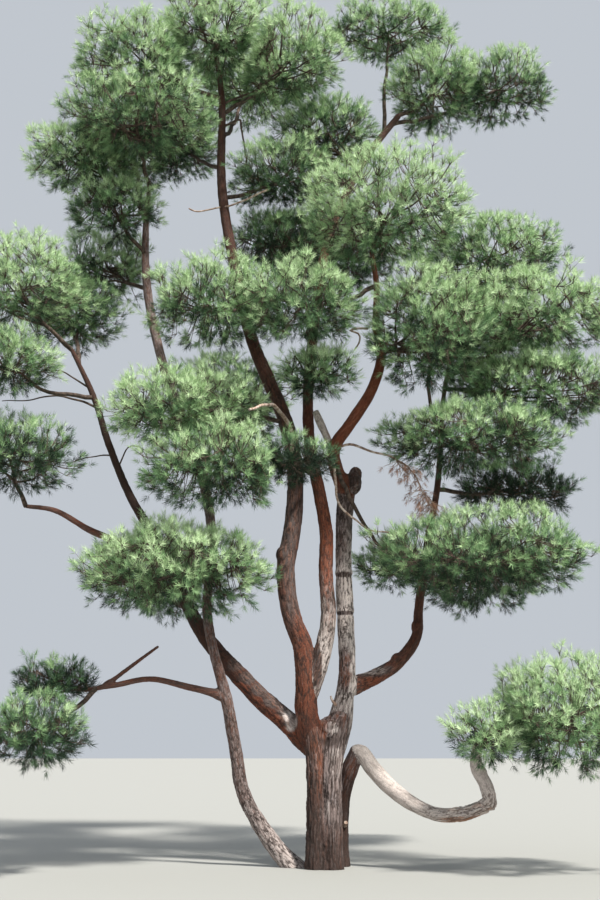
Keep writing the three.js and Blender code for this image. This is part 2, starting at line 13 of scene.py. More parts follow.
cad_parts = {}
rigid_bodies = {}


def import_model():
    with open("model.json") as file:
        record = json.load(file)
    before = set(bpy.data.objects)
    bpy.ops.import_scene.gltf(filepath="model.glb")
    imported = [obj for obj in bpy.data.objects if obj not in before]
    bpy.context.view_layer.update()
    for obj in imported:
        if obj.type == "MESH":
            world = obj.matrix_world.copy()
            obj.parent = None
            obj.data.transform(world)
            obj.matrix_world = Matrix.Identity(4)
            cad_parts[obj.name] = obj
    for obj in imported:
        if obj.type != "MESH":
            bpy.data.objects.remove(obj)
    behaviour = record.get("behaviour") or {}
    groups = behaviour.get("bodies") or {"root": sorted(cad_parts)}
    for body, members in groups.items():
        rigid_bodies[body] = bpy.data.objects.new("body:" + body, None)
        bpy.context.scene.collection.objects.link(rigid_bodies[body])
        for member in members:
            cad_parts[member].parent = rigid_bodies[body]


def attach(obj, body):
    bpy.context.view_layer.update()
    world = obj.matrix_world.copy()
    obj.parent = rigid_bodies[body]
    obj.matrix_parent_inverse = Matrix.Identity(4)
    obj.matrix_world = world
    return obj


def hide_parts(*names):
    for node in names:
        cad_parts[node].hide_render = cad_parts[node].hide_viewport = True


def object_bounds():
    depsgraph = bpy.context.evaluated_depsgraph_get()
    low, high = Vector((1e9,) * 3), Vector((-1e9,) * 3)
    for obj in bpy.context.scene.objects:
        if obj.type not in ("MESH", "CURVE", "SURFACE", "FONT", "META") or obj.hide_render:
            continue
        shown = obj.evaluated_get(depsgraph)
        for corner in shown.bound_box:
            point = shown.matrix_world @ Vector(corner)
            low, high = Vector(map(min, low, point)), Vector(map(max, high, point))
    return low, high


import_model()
cad_box = [list(corner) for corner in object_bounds()]


# The stage: a camera at eye height that looks slightly up at the whole tree, a plain pale floor, an
# even pale sky, and one broad light from high in front on the right.
EYE_PLACE = (-0.32, -16.6, 1.6)
EYE_TILT = math.radians(103)
EYE_LENS = 50
EYE_REACH = 300
FLOOR_REACH = 90
FLOOR_DROP = 0.002  # keeps the floor clear of the flat cut under the trunk
FLOOR_COLOUR = (0.36, 0.36, 0.34, 1)
FLOOR_ROUGHNESS = 0.9
SKY_COLOUR = (0.86, 0.92, 1.0, 1)
SKY_STRENGTH = 0.62
LIGHT_FROM = (0.5, -0.62, 1.0)
LIGHT_COLOUR = (1.0, 0.97, 0.91)
LIGHT_STRENGTH = 6.0
LIGHT_SPREAD = math.radians(6)

scene = bpy.context.scene


def put_in_scene(name, data):
    obj = bpy.data.objects.new(name, data)
    scene.collection.objects.link(obj)
    return obj


def new_finish(name):
    """A new material and its surface shader."""
    finish = bpy.data.materials.new(name)
    finish.use_nodes = True
    return finish, finish.node_tree.nodes["Principled BSDF"]


camera = put_in_scene("camera", bpy.data.cameras.new("camera"))
camera.location = EYE_PLACE
camera.rotation_euler = (EYE_TILT, 0, 0)
camera.data.lens = EYE_LENS
camera.data.clip_end = EYE_REACH
scene.camera = camera

light = put_in_scene("high_light", bpy.data.lights.new("high_light", "SUN"))
light.data.energy = LIGHT_STRENGTH
light.data.angle = LIGHT_SPREAD
light.data.color = LIGHT_COLOUR
light.rotation_euler = Vector(LIGHT_FROM).to_track_quat("Z", "Y").to_euler()

scene.view_settings.view_transform = "Standard"
scene.world = bpy.data.worlds.new("sky")
scene.world.use_nodes = True
sky = scene.world.node_tree.nodes["Background"]
sky.inputs["Color"].default_value = SKY_COLOUR
sky.inputs["Strength"].default_value = SKY_STRENGTH

floor_mesh = bpy.data.meshes.new("floor")
floor_mesh.from_pydata([
    (x * FLOOR_REACH, y * FLOOR_REACH, -FLOOR_DROP)
    for x, y in ((-1, -1), (1, -1), (1, 1), (-1, 1))
], [], [(0, 1, 2, 3)])
floor_finish, floor_surface = new_finish("pale_floor")
floor_surface.inputs["Base Color"].default_value = FLOOR_COLOUR
floor_surface.inputs["Roughness"].default_value = FLOOR_ROUGHNESS
floor_mesh.materials.append(floor_finish)
floor = put_in_scene("floor", floor_mesh)


# The wood: a short fluted trunk that forks, two stems beside it and the boughs they carry. A limb
# tapers along its route of bends, each (x, y, z, radius) in metres, and may have strands grown to
# it. Its bark's redness, lightness and relief in millimetres run along it; long draws out plates.
# Lightness is partly the bark's own paleness and partly painted light and shade: painted shade
# darkens the left bough, the right bough and the low stem, and painted sunlight lights the right
# fork stem and the end of the low limb.
LIMBS = {
    "trunk": dict(
        bark="grey", red=(0.55, 0.5, 0.35, 0.4, 0.5), light=(-1.1, -0.8, -0.4, -0.1, 0),
        relief=(19, 20, 18, 15, 8), long=1.8,
        route=[
            (-0.01, 0.02, -0.15, 0.215), (-0.01, 0.02, 0.15, 0.208), (0, 0.02, 0.8, 0.2),
            (0, 0.02, 1.35, 0.205), (0.01, 0.02, 1.62, 0.19), (0.03, 0.03, 1.8, 0.12),
        ],
        strands=[
            [
                (-0.14, -0.08, -0.15, 0.12), (-0.13, -0.1, 0.25, 0.112),
                (-0.125, -0.105, 0.75, 0.108), (-0.125, -0.1, 1.25, 0.115),
                (-0.15, -0.075, 1.6, 0.12), (-0.2, -0.05, 1.85, 0.12), (-0.25, 0, 2.1, 0.1),
                (-0.28, 0.04, 2.3, 0.08),
            ],
            [
                (0.09, -0.08, -0.15, 0.14), (0.085, -0.09, 0.25, 0.132),
                (0.085, -0.095, 0.75, 0.128), (0.09, -0.095, 1.25, 0.132),
                (0.13, -0.05, 1.6, 0.14), (0.2, 0.03, 1.85, 0.135),
            ],
        ],
    ),
    "left_fork_stem": dict(
        bark="red", red=(0.8, 1.0, 0.7, 0.5, 0.3, 0.3, 0.4, 0.7, 0.6, 0.5, 0.4),
        light=(-0.45, -0.5, -0.4, -0.45, -0.5, -0.8, -0.8, -0.7),
        relief=(12, 10, 9, 9, 8, 6, 4, 2),
        route=[
            (-0.09, 0, 1.4, 0.165), (-0.23, -0.05, 1.9, 0.15), (-0.24, -0.1, 2.3, 0.143),
            (-0.28, -0.1, 2.75, 0.131), (-0.44, -0.1, 3.2, 0.122), (-0.51, -0.05, 3.8, 0.121),
            (-0.44, 0, 4.25, 0.12), (-0.39, 0.05, 4.7, 0.115), (-0.4, 0.1, 5.3, 0.107),
            (-0.53, 0.15, 5.9, 0.101), (-0.77, 0.2, 6.5, 0.095), (-1, 0.25, 7.1, 0.088),
            (-1.27, 0.3, 8.25, 0.079), (-1.46, 0.3, 9.45, 0.069), (-1.48, 0.3, 10.85, 0.05),
            (-1.58, 0.3, 11.6, 0.032),
        ],
    ),
    "right_fork_stem": dict(
        # Its lightness is partly painted sunlight, where the sun falls on its middle.
        bark="grey", red=(0.2, 0.1, 0, 0, 0.1, 0.4), light=(0.2, 0.4, 0.6, 1.15, 0.1, -0.5),
        relief=(12, 10, 8, 8, 8, 9), blunt=0.1, ridges=((3.255, 0.012), (3.763, 0.014)),
        collar=(0.1, 0),
        route=[
            (0.08, 0.05, 1.4, 0.17), (0.19, 0.07, 1.78, 0.165), (0.26, 0.09, 2.12, 0.128),
            (0.3, 0.1, 2.45, 0.108), (0.29, 0.1, 3, 0.112), (0.27, 0.1, 3.6, 0.112),
            (0.27, 0.1, 4.2, 0.107), (0.3, 0.1, 4.75, 0.118), (0.36, 0.1, 5.05, 0.105),
        ],
    ),
    "middle_red_stem": dict(
        bark="red", red=(0.4, 0.1, 0.3, 0.8, 1.1, 1.1, 1, 0.6, 0.4),
        light=(0.3, 0.7, 0.1, -0.45, -0.6, -0.6, -0.7), relief=(9, 8, 7, 6, 5, 4, 2),
        route=[
            (-0.2, -0.08, 2.1, 0.1), (-0.11, -0.12, 2.4, 0.118), (-0.02, -0.15, 2.72, 0.116),
            (0.05, -0.2, 3.15, 0.1), (0.02, -0.15, 3.7, 0.095), (0.03, -0.1, 4.25, 0.09),
            (-0.05, -0.05, 4.8, 0.084), (-0.17, 0.05, 5.4, 0.079), (-0.21, 0.2, 6.2, 0.075),
            (-0.09, 0.5, 7.6, 0.072), (0.1, 0.7, 8.8, 0.069), (0.62, 0.9, 10.1, 0.062),
            (1.2, 1, 10.95, 0.046),
        ],
    ),
    "orange_bough": dict(
        bark="red_bough", red=(0.6, 1, 1.3, 1.2, 0.9, 0.8), light=(0, -0.15, -0.3),
        relief=(6, 4, 3, 2.5, 2), collar=(0.15, 0.25),
        route=[
            (0.33, 0.08, 4.8, 0.09), (0.17, 0, 5.18, 0.092), (0.14, -0.1, 5.42, 0.087),
            (0.38, -0.2, 5.78, 0.079), (0.65, -0.3, 6.2, 0.074), (0.79, -0.35, 6.7, 0.066),
            (0.72, -0.4, 7.05, 0.055), (0.73, -0.4, 7.65, 0.042), (0.66, -0.45, 8.15, 0.032),
        ],
    ),
    "leaning_left_stem": dict(
        bark="grey", red=(0, 0.1, 0.3, 0.5, 0.45, 0.3, 0.3, 0.4, 0.5),
        light=(0.6, 0.25, -0.2, -0.35, -0.2, 0, 0), relief=(11, 10, 7, 5, 4, 3, 3, 2),
        collar=(0.1, 0.1),
        route=[
            (-0.28, 0.15, -0.12, 0.14), (-0.59, 0.19, 0.19, 0.116), (-0.86, 0.18, 0.55, 0.1),
            (-1.06, 0.1, 0.95, 0.089), (-1.16, 0, 1.5, 0.085), (-1.27, -0.2, 2.1, 0.075),
            (-1.46, -0.3, 2.8, 0.065), (-1.53, -0.3, 3.25, 0.064), (-1.49, -0.1, 4.1, 0.065),
            (-1.61, 0.1, 4.9, 0.067), (-1.94, 0.3, 5.85, 0.07), (-2.29, 0.5, 6.85, 0.069),
            (-2.55, 0.65, 8, 0.062), (-2.61, 0.75, 8.9, 0.05), (-2.58, 0.78, 9.7, 0.036),
        ],
    ),
    "left_bough": dict(
        bark="red_bough", red=(0.8, 0.8, 0.75, 0.5, 0.5, 0.5),
        # Its darkness is painted shade: the bough lies in the shade of the crown.
        light=(-0.5, -0.75, -1.0, -1.2, -1.1, -0.7), relief=(9, 9, 8, 6, 4, 2), collar=(0.2, 0.25),
        route=[
            (-0.15, 0.06, 1.5, 0.13), (-0.5, 0.15, 1.83, 0.134), (-0.87, 0.2, 2.15, 0.129),
            (-1.22, 0.25, 2.51, 0.117), (-1.59, 0.22, 2.93, 0.101), (-1.86, 0.15, 3.4, 0.088),
            (-2.23, 0.05, 4.15, 0.07), (-2.62, 0, 4.8, 0.057), (-2.92, -0.05, 5.5, 0.049),
            (-3.14, -0.1, 6.15, 0.042), (-3.45, -0.2, 6.8, 0.03),
        ],
    ),
    "right_bough": dict(
        # Its darkness is painted shade.
        bark="red_bough", red=(0.5, 0.6, 0.7, 0.4, 0.4, 0.4), light=(-0.2, -0.7, -0.6, -0.4),
        relief=(8, 6, 4, 3, 2), collar=(0.12, 0.3),
        route=[
            (0.3, 0.12, 2.25, 0.1), (0.68, 0.35, 2.4, 0.104), (1.01, 0.45, 2.61, 0.088),
            (1.26, 0.55, 2.95, 0.076), (1.31, 0.6, 3.35, 0.062), (1.44, 0.6, 4.2, 0.054),
            (1.6, 0.6, 5, 0.047), (1.67, 0.6, 5.65, 0.041), (1.74, 0.55, 6.45, 0.034),
            (1.95, 0.45, 7.3, 0.026),
        ],
    ),
    "low_stem": dict(
        # Its darkness is painted shade.
        bark="grey", red=(1.1, 1.2, 1.1, 0.9, 0.4), light=(-1.15, -1.15, -1.1, -0.7, 0.1),
        relief=(12, 11, 8, 3), long=1.5,
        route=[
            (0.21, 0.3, -0.1, 0.14), (0.2, 0.3, 0.2, 0.11), (0.21, 0.3, 0.5, 0.099),
            (0.24, 0.28, 0.85, 0.099), (0.32, 0.2, 1.18, 0.106), (0.41, 0.13, 1.4, 0.1),
        ],
    ),
    "low_limb": dict(
        bark="pale", red=(0.1, 0, 0, 0, 0.05, 0.2, 0.4),
        light=(0.1, 0.2, 0.3, 0.4, 0.3, 0.25, 0.2), relief=(3, 3.5, 3.5, 4, 6, 10, 13), long=1.5,
        route=[
            (0.36, 0.17, 1.32, 0.09), (0.46, 0.11, 1.42, 0.107), (0.61, 0.01, 1.24, 0.106),
            (0.83, -0.1, 1, 0.102), (1.1, -0.25, 0.8, 0.093), (1.39, -0.4, 0.68, 0.083),
            (1.7, -0.5, 0.69, 0.084), (1.98, -0.55, 0.79, 0.08),
        ],
    ),
    "low_limb_end": dict(
        # Its lightness is painted sunlight on the end of the low limb.
        bark="pale", red=(0.3, 0.1, 0, 0, 0), light=(0.1, 0.7, 1.1, 1.2, 0.6),
        relief=(10, 6, 3, 3, 2),
        route=[
            (1.93, -0.54, 0.77, 0.075), (2.02, -0.56, 0.87, 0.083), (1.97, -0.58, 1.06, 0.084),
            (1.87, -0.6, 1.27, 0.082), (1.9, -0.62, 1.5, 0.066), (2.12, -0.66, 1.72, 0.046),
        ],
    ),
    "left_side_branch": dict(
        bark="red_bough", red=(0.4, 0.5, 0.4), light=(-0.3, -0.2), relief=(3, 2, 1.5),
        collar=(0.08, 0.6),
        route=[
            (-1.29, -0.2, 2.14, 0.05), (-1.73, -0.3, 2.24, 0.045), (-2.23, -0.4, 2.34, 0.036),
            (-2.66, -0.5, 2.26, 0.036), (-3, -0.55, 2.2, 0.028),
        ],
        strands=[
            [
                (-2.8, -0.5, 2.24, 0.029), (-2.44, -0.4, 2.53, 0.026), (-2.15, -0.3, 2.76, 0.02),
            ],
        ],
    ),
    "left_far_branch": dict(
        bark="red_bough", red=(0.5, 0.5, 0.4), light=(-0.3, -0.2), relief=(3, 2, 2),
        collar=(0.07, 0.3),
        route=[
            (-2.16, 0.07, 4.02, 0.055), (-2.62, 0.2, 4.15, 0.053), (-3.17, 0.35, 4.37, 0.046),
            (-3.71, 0.4, 4.67, 0.039), (-4.1, 0.35, 4.72, 0.03),
        ],
    ),
    "broken_stub": dict(
        bark="pale", red=(0.6, 0.1, 0), light=(0, 0.1, 0.1), relief=(5, 5, 8), blunt=0.1,
        route=[
            (0.14, -0.08, 5.36, 0.05), (0.02, -0.05, 5.66, 0.05), (-0.06, -0.05, 5.84, 0.056),
            (-0.11, -0.05, 5.97, 0.045),
        ],
    ),
}
TRUNK_FLARE = dict(
    height=0.25, spread=0.1, flutes=5, depth=0.06, high_share=0.35, folds=13, fold_depth=0.018,
    fold_wander=1.5, fold_wanders=3, fold_twist=2,
)
RIDGE = dict(width=0.022, groove_drop=0.05, groove_width=0.02, groove_depth=0.6)
UNEVEN_WOOD = dict(depth=0.07, broad=0.3, fine=0.12, fine_share=0.6)
COLLAR_FADE = 1.3  # of the limb's radius
ROUND_TIP = 0.8
ROOT_CAP = 0.01
RING_SPACING = 0.03
RING_SIDES = 28
# Swellings that grew over old wounds and broken boughs: centre, then half sizes.
SWELLINGS = [
    ((0.085, -0.1, 1.68), (0.125, 0.11, 0.16)), ((0.03, -0.14, 1.72), (0.06, 0.05, 0.07)),
    ((-0.5, 0.09, 1.83), (0.1, 0.12, 0.1)), ((-0.1, -0.16, 2.55), (0.06, 0.07, 0.16)),
    ((-0.54, -0.08, 3.98), (0.1, 0.1, 0.13)), ((0.02, -0.12, 1.2), (0.09, 0.09, 0.3)),
    ((0.4, 0.06, 4.98), (0.12, 0.12, 0.16)), ((0.25, 0.0, 5.0), (0.11, 0.11, 0.13)),
    ((0.44, 0.14, 5.12), (0.09, 0.09, 0.11)), ((1.28, 0.56, 3.08), (0.085, 0.085, 0.11)),
    ((1.0, 0.45, 2.63), (0.1, 0.1, 0.1)), ((2.03, -0.55, 0.82), (0.09, 0.09, 0.08)),
    ((1.92, -0.59, 1.18), (0.085, 0.08, 0.1)), ((0.44, 0.12, 1.44), (0.12, 0.12, 0.09)),
]
# Places where the bark is made redder, greyer, lighter or darker than the rest of its limb: centre,
# half sizes, then what is added to its redness and its lightness, and the share of its relief that
# is left. The lighter and darker places are partly the bark's own colour and partly painted light
# and shade, such as painted sunlight on the trunk's right strand and painted shadow in the grooves
# under the right fork stem's ridges.
BARK_SPOTS = [
    ((-0.2, -0.1, 0.95), (0.13, 0.35, 0.95), 0.2, -0.25, 1.0),
    ((-0.2, -0.1, 1.62), (0.18, 0.3, 0.24), 0.8, -0.1, 0.8),
    ((-0.075, -0.2, 1.25), (0.05, 0.12, 0.36), 1.0, 0.15, 0.8),
    ((-0.13, -0.15, 1.75), (0.15, 0.2, 0.24), 1.3, -0.05, 0.6),
    ((-0.05, -0.12, 1.98), (0.05, 0.2, 0.2), -1.0, 0.55, 0.7),
    # Painted sunlight: the trunk's right strand is made paler and greyer where the sun falls on it.
    ((0.14, -0.12, 1.1), (0.15, 0.3, 0.62), -0.6, 0.5, 0.9),
    ((0.02, -0.2, 0.66), (0.05, 0.1, 0.22), -0.2, 0.75, 0.6),
    ((0.08, -0.2, 1.56), (0.14, 0.14, 0.07), 0.1, -0.9, 1.0),
    ((0.09, -0.2, 1.74), (0.1, 0.12, 0.09), -0.1, 0.3, 0.7),
    ((-0.43, 0.0, 1.82), (0.11, 0.2, 0.15), -0.9, 1.0, 0.3),
    ((-0.1, -0.2, 2.56), (0.06, 0.13, 0.27), 0.0, -1.0, 1.0),
    ((-0.43, -0.16, 3.45), (0.12, 0.12, 0.5), -0.3, 0.2, 0.8),
    ((-0.5, -0.1, 4.25), (0.12, 0.2, 0.35), -0.5, 0.45, 0.7),
    ((0.28, 0.0, 2.5), (0.14, 0.16, 0.28), 0.55, -0.75, 1.0),
    # Painted shadow: dark bands in the grooves under the right fork stem's two ridges.
    ((0.27, 0.0, 3.22), (0.14, 0.16, 0.03), 0.0, -1.3, 1.5),
    ((0.27, 0.0, 3.73), (0.14, 0.16, 0.035), 0.0, -1.3, 1.5),
    ((0.22, 0.0, 4.1), (0.1, 0.16, 0.28), 0.3, -0.2, 1.0),
    ((0.36, 0.0, 3.5), (0.08, 0.12, 0.3), 0.3, -0.2, 1.0),
    ((0.3, 0.0, 5.0), (0.2, 0.2, 0.12), 0.2, -0.5, 1.0),
    ((0.37, 0.0, 2.35), (0.06, 0.14, 0.5), 0.0, 0.6, 0.8),
    ((1.7, -0.57, 0.84), (0.55, 0.2, 0.15), 0.0, -0.25, 3.2),
    ((1.72, -0.6, 0.7), (0.12, 0.1, 0.05), 0.0, 0.6, 1.0),
    ((1.75, -0.48, 0.6), (0.35, 0.2, 0.09), 0.9, -0.2, 1.2),
    ((-0.52, 0.05, 1.95), (0.09, 0.2, 0.12), -1.0, 0.9, 1.0),
    ((-0.68, 0.1, 2.08), (0.12, 0.2, 0.09), -1.1, 0.4, 1.2),
    ((-0.84, 0.13, 2.23), (0.12, 0.2, 0.09), -1.1, 0.4, 1.2),
    ((-1.01, 0.15, 2.38), (0.12, 0.2, 0.09), -1.0, 0.4, 1.2),
    ((-1.17, 0.18, 2.55), (0.12, 0.2, 0.09), -1.0, 0.4, 1.2),
    ((-0.5, 0.05, 1.65), (0.16, 0.25, 0.1), 0.4, 0.4, 1.0),
    ((-0.73, 0.1, 1.83), (0.16, 0.25, 0.1), 0.4, 0.5, 1.0),
    ((-0.95, 0.12, 2.03), (0.15, 0.25, 0.1), 0.4, 0.5, 1.0),
    ((-1.14, 0.15, 2.24), (0.14, 0.25, 0.1), 0.4, 0.4, 1.0),
    ((0.62, 0.2, 2.49), (0.34, 0.3, 0.08), -0.6, 0.75, 1.4),
    ((0.75, 0.3, 2.3), (0.35, 0.3, 0.09), 0.6, 0.3, 1.0),
]
CURVE_STEPS = 24  # between two bends, where a curve's length is measured
SEED_SHIFTS = (7.3, 3.1, 5.7)


def curve_points(stops, places):
    """Points of a smooth curve through the stops, at places counted in stops from 0."""
    stops, places = np.asarray(stops, float)[:, :3], np.asarray(places, float)
    first = np.clip(np.floor(places).astype(int), 0, len(stops) - 2)
    share = (places - first)[:, None]
    padded = np.vstack([2 * stops[0] - stops[1], stops, 2 * stops[-1] - stops[-2]])
    before, start, end, after = (padded[first + step] for step in range(4))
    spans = ((before, start), (start, end), (end, after))
    gaps = [
        np.sqrt(np.maximum(np.linalg.norm(far - near, axis=1), 1e-6))[:, None]
        for near, far in spans
    ]
    slopes = [(far - near) / gap for (near, far), gap in zip(spans, gaps)]
    leave = slopes[0] - (end - before) / (gaps[0] + gaps[1]) + slopes[1]
    arrive = slopes[1] - (after - start) / (gaps[1] + gaps[2]) + slopes[2]
    leave, arrive = leave * gaps[1], arrive * gaps[1]
    bend = 3 * (end - start) - 2 * leave - arrive
    settle = 2 * (start - end) + leave + arrive
    return start + leave * share + bend * share**2 + settle * share**3


def walk(route, spacing):
    """Even steps along a route: their places in stops, points, radii and lengths from the root."""
    fine = np.linspace(0, len(route) - 1, CURVE_STEPS * (len(route) - 1) + 1)
    ahead = np.linalg.norm(np.diff(curve_points(route, fine), axis=0), axis=1)
    lengths = np.concatenate([[0], np.cumsum(ahead)])
    steps = max(3, round(lengths[-1] / spacing))
    wanted = np.linspace(0, lengths[-1], steps + 1)
    places = np.interp(wanted, lengths, fine)
    radii = np.interp(places, range(len(route)), [stop[3] for stop in route])
    return places, curve_points(route, places), radii, wanted


def frames_along(points):
    """Directions along a path and square to it, that turn as little as they can."""
    along = np.gradient(points, axis=0)
    along /= np.linalg.norm(along, axis=1)[:, None]
    side = np.cross(along[0], (0.0, 1.0, 0.0) if abs(along[0][1]) < 0.9 else (1.0, 0.0, 0.0))
    sides = []
    for direction in along:
        side = side - direction * side.dot(direction)
        side /= np.linalg.norm(side)
        sides.append(side)
    return along, np.array(sides), np.cross(along, sides)


def unevenness(points, size, seed):
    """A smooth random value from about -1 to 1 at each point, that varies over the size given."""
    shift = Vector([seed * step for step in SEED_SHIFTS])
    return np.array([noise.noise(Vector(point) / size + shift) for point in points])


def limb_skin(name, limb, route, seed):
    """A closed tube for one limb: vertices and faces, with its flare, collar and ridges."""
    _, points, radii, lengths = walk(route, RING_SPACING)
    along, sides, across = frames_along(points)
    angles = np.arange(RING_SIDES) * 2 * math.pi / RING_SIDES
    grown = np.repeat(radii[:, None], RING_SIDES, axis=1)
    if "collar" in limb:
        leaves_at, swelling = limb["collar"]
        beyond = np.maximum(lengths - leaves_at, 0)
        grown *= 1 + swelling * np.exp(-beyond / (COLLAR_FADE * radii[0]))[:, None]
    for height, ridge in limb.get("ridges", ()):
        above = points[:, 2] - height
        groove = (above + RIDGE["groove_drop"]) / RIDGE["groove_width"]
        grown += ridge * np.exp(-((above / RIDGE["width"]) ** 2))[:, None]
        grown -= RIDGE["groove_depth"] * ridge * np.exp(-(groove**2))[:, None]
    outward = (
        np.cos(angles)[None, :, None] * sides[:, None, :]
        + np.sin(angles)[None, :, None] * across[:, None, :]
    )
    if name == "trunk":
        low = np.exp(-np.maximum(points[:, 2], 0) / TRUNK_FLARE["height"])[:, None]
        around = np.arctan2(outward[:, :, 0], -outward[:, :, 1])
        flute = np.cos(TRUNK_FLARE["flutes"] * around) * TRUNK_FLARE["depth"]
        bent = TRUNK_FLARE["folds"] * around
        bent += TRUNK_FLARE["fold_wander"] * np.sin(TRUNK_FLARE["fold_wanders"] * around)
        bent += TRUNK_FLARE["fold_twist"] * points[:, 2][:, None]
        fold = np.cos(bent) * TRUNK_FLARE["fold_depth"]
        high = TRUNK_FLARE["high_share"]
        grown *= 1 + TRUNK_FLARE["spread"] * low
        grown *= 1 + flute * (high + (1 - high) * low) + fold
    rings = points[:, None, :] + outward * grown[:, :, None]
    spots = rings.reshape(-1, 3)
    bumps = unevenness(spots, UNEVEN_WOOD["broad"], seed)
    bumps += UNEVEN_WOOD["fine_share"] * unevenness(spots, UNEVEN_WOOD["fine"], seed + 40)
    rings += outward * (grown * UNEVEN_WOOD["depth"] * bumps.reshape(grown.shape))[:, :, None]
    tip = points[-1] + along[-1] * radii[-1] * limb.get("blunt", ROUND_TIP)
    vertices = np.vstack([rings.reshape(-1, 3), points[0] - along[0] * ROOT_CAP, tip])
    faces, count = [], len(points)
    last = (count - 1) * RING_SIDES
    beside = [(side + 1) % RING_SIDES for side in range(RING_SIDES)]
    for ring in range(0, last, RING_SIDES):
        for side in range(RING_SIDES):
            here, there = ring + side, ring + beside[side]
            faces.append((here, there, there + RING_SIDES, here + RING_SIDES))
    for side in range(RING_SIDES):
        faces.append((beside[side], side, count * RING_SIDES))
        faces.append((last + side, last + beside[side], count * RING_SIDES + 1))
    return vertices, faces


# The wood's forks grow into one another, so the limbs' tubes are fused into one skin of even cells.
# Old wounds and broken boughs have left swellings in it.
SKIN_CELL = 0.0128
SKIN_SMOOTHING = 5
GROUND = 0.0

wood = bmesh.new()
for seed, (name, limb) in enumerate(LIMBS.items()):
    for route in (limb["route"], *limb.get("strands", ())):
        vertices, faces = limb_skin(name, limb, route, seed)
        made = [wood.verts.new(vertex) for vertex in vertices]
        for face in faces:
            wood.faces.new([made[corner] for corner in face])
for centre, half in SWELLINGS:
    for vertex in bmesh.ops.create_icosphere(wood, subdivisions=3, radius=1)["verts"]:
        vertex.co = Vector(centre) + Vector(half) * vertex.co
bmesh.ops.recalc_face_normals(wood, faces=wood.faces)
tubes = bpy.data.meshes.new("limb_tubes")
wood.to_mesh(tubes)
wood.free()


def finished_mesh(obj, name):
    """The object's mesh as its modifiers leave it."""
    seen = obj.evaluated_get(bpy.context.evaluated_depsgraph_get())
    mesh = bpy.data.meshes.new_from_object(seen)
    mesh.name = name
    return mesh


def take_away(obj):
    mesh = obj.data
    bpy.data.objects.remove(obj)
    bpy.data.meshes.remove(mesh)


fused = put_in_scene("fused_limbs", tubes)
remesh = fused.modifiers.new("one skin", "REMESH")
remesh.mode = "VOXEL"
remesh.voxel_size = SKIN_CELL
smooth = fused.modifiers.new("grown together", "SMOOTH")
smooth.iterations = SKIN_SMOOTHING
skin = finished_mesh(fused, "wood_skin")
take_away(fused)


# The bark follows the limbs, so each place on the skin is told by the limb it lies on: how far
# along it, and where round it, both counted in bark plates, which are wider on thicker wood.
BARK_PIECES = {
    "grey": "grey_bark_skin", "red": "red_bark_skin", "red_bough": "red_bough_skin",
    "pale": "pale_bark_skin",
}
BARK_KINDS = tuple(BARK_PIECES)
PLATE_WIDTH = 0.19  # of a limb's radius
PLATE_WIDEST = 0.055
PLATE_BASE = 0.012
LIMB_SAMPLING = 0.02
LIMB_REACH = 0.4
SPOT_EDGE = 1.25  # where a spot of different bark ends, in its half sizes
SPOT_SLOPE = 1.6


def keep_values(mesh, name, values, kind="FLOAT", domain="POINT"):
    """Stores one value for each vertex or face of the mesh."""
    stored = mesh.attributes.new(name, kind, domain)
    field = "vector" if kind == "FLOAT_VECTOR" else "value"
    stored.data.foreach_set(field, np.asarray(values).ravel())


def read_values(items, field, kind, width=1):
    """Reads one value, or a row of them, from each item of a mesh."""
    values = np.empty(len(items) * width, dtype=kind)
    items.foreach_get(field, values)
    return values


places_on_skin = read_values(skin.vertices, "co", float, 3).reshape(-1, 3)
nearest = np.full(len(places_on_skin), np.inf)
bark_place = np.zeros_like(places_on_skin)
redness, lightness, relief, kind_of_bark = (np.zeros(len(places_on_skin)) for _ in range(4))
limb_samples = []
for order, limb in enumerate(LIMBS.values()):
    for strand, route in enumerate((limb["route"], *limb.get("strands", ()))):
        places, points, radii, lengths = walk(route, LIMB_SAMPLING)
        limb_samples.append(np.column_stack([points, radii]))
        along, sides, across = frames_along(points)
        close = np.where(
            (places_on_skin > points.min(0) - LIMB_REACH).all(1)
            & (places_on_skin < points.max(0) + LIMB_REACH).all(1)
        )[0]
        spots = places_on_skin[close]
        apart = (spots**2).sum(1)[:, None] + (points**2).sum(1)[None] - 2 * spots @ points.T
        index = apart.argmin(1)
        beyond = np.sqrt(np.maximum(apart[np.arange(len(close)), index], 0)) - radii[index]
        better = beyond < nearest[close]
        close, index, spots, beyond = close[better], index[better], spots[better], beyond[better]
        nearest[close] = beyond
        offset = spots - points[index]
        ahead = (offset * along[index]).sum(1)
        plate = np.minimum(PLATE_WIDTH * radii + PLATE_BASE, PLATE_WIDEST)
        travelled = np.concatenate([[0], np.cumsum(np.diff(lengths) / plate[1:])])
        bark_place[close] = np.column_stack([
            (offset * sides[index]).sum(1) / plate[index] + 31 * order + 13 * strand,
            (offset * across[index]).sum(1) / plate[index],
            (travelled[index] + ahead / plate[index]) / limb.get("long", 1),
        ])
        share = places[index] / (len(route) - 1)
        for store, key in ((redness, "red"), (lightness, "light"), (relief, "relief")):
            store[close] = np.interp(share, np.linspace(0, 1, len(limb[key])), limb[key])
        kind_of_bark[close] = BARK_KINDS.index(limb["bark"])
limb_samples = np.vstack(limb_samples)
for centre, half, redder, lighter, relief_left in BARK_SPOTS:
    apart = np.linalg.norm((places_on_skin - centre) / half, axis=1)
    near = np.clip(SPOT_SLOPE * (SPOT_EDGE - apart), 0, 1)
    redness += near * redder
    lightness += near * lighter
    relief *= 1 + near * (relief_left - 1)
keep_values(skin, "bark_place", bark_place, "FLOAT_VECTOR")
keep_values(skin, "redness", redness)
keep_values(skin, "lightness", lightness)
keep_values(skin, "bark_depth", relief / 1000)
corner_of_face = read_values(skin.polygons, "loop_start", np.int32)
vertex_of_loop = read_values(skin.loops, "vertex_index", np.int32)
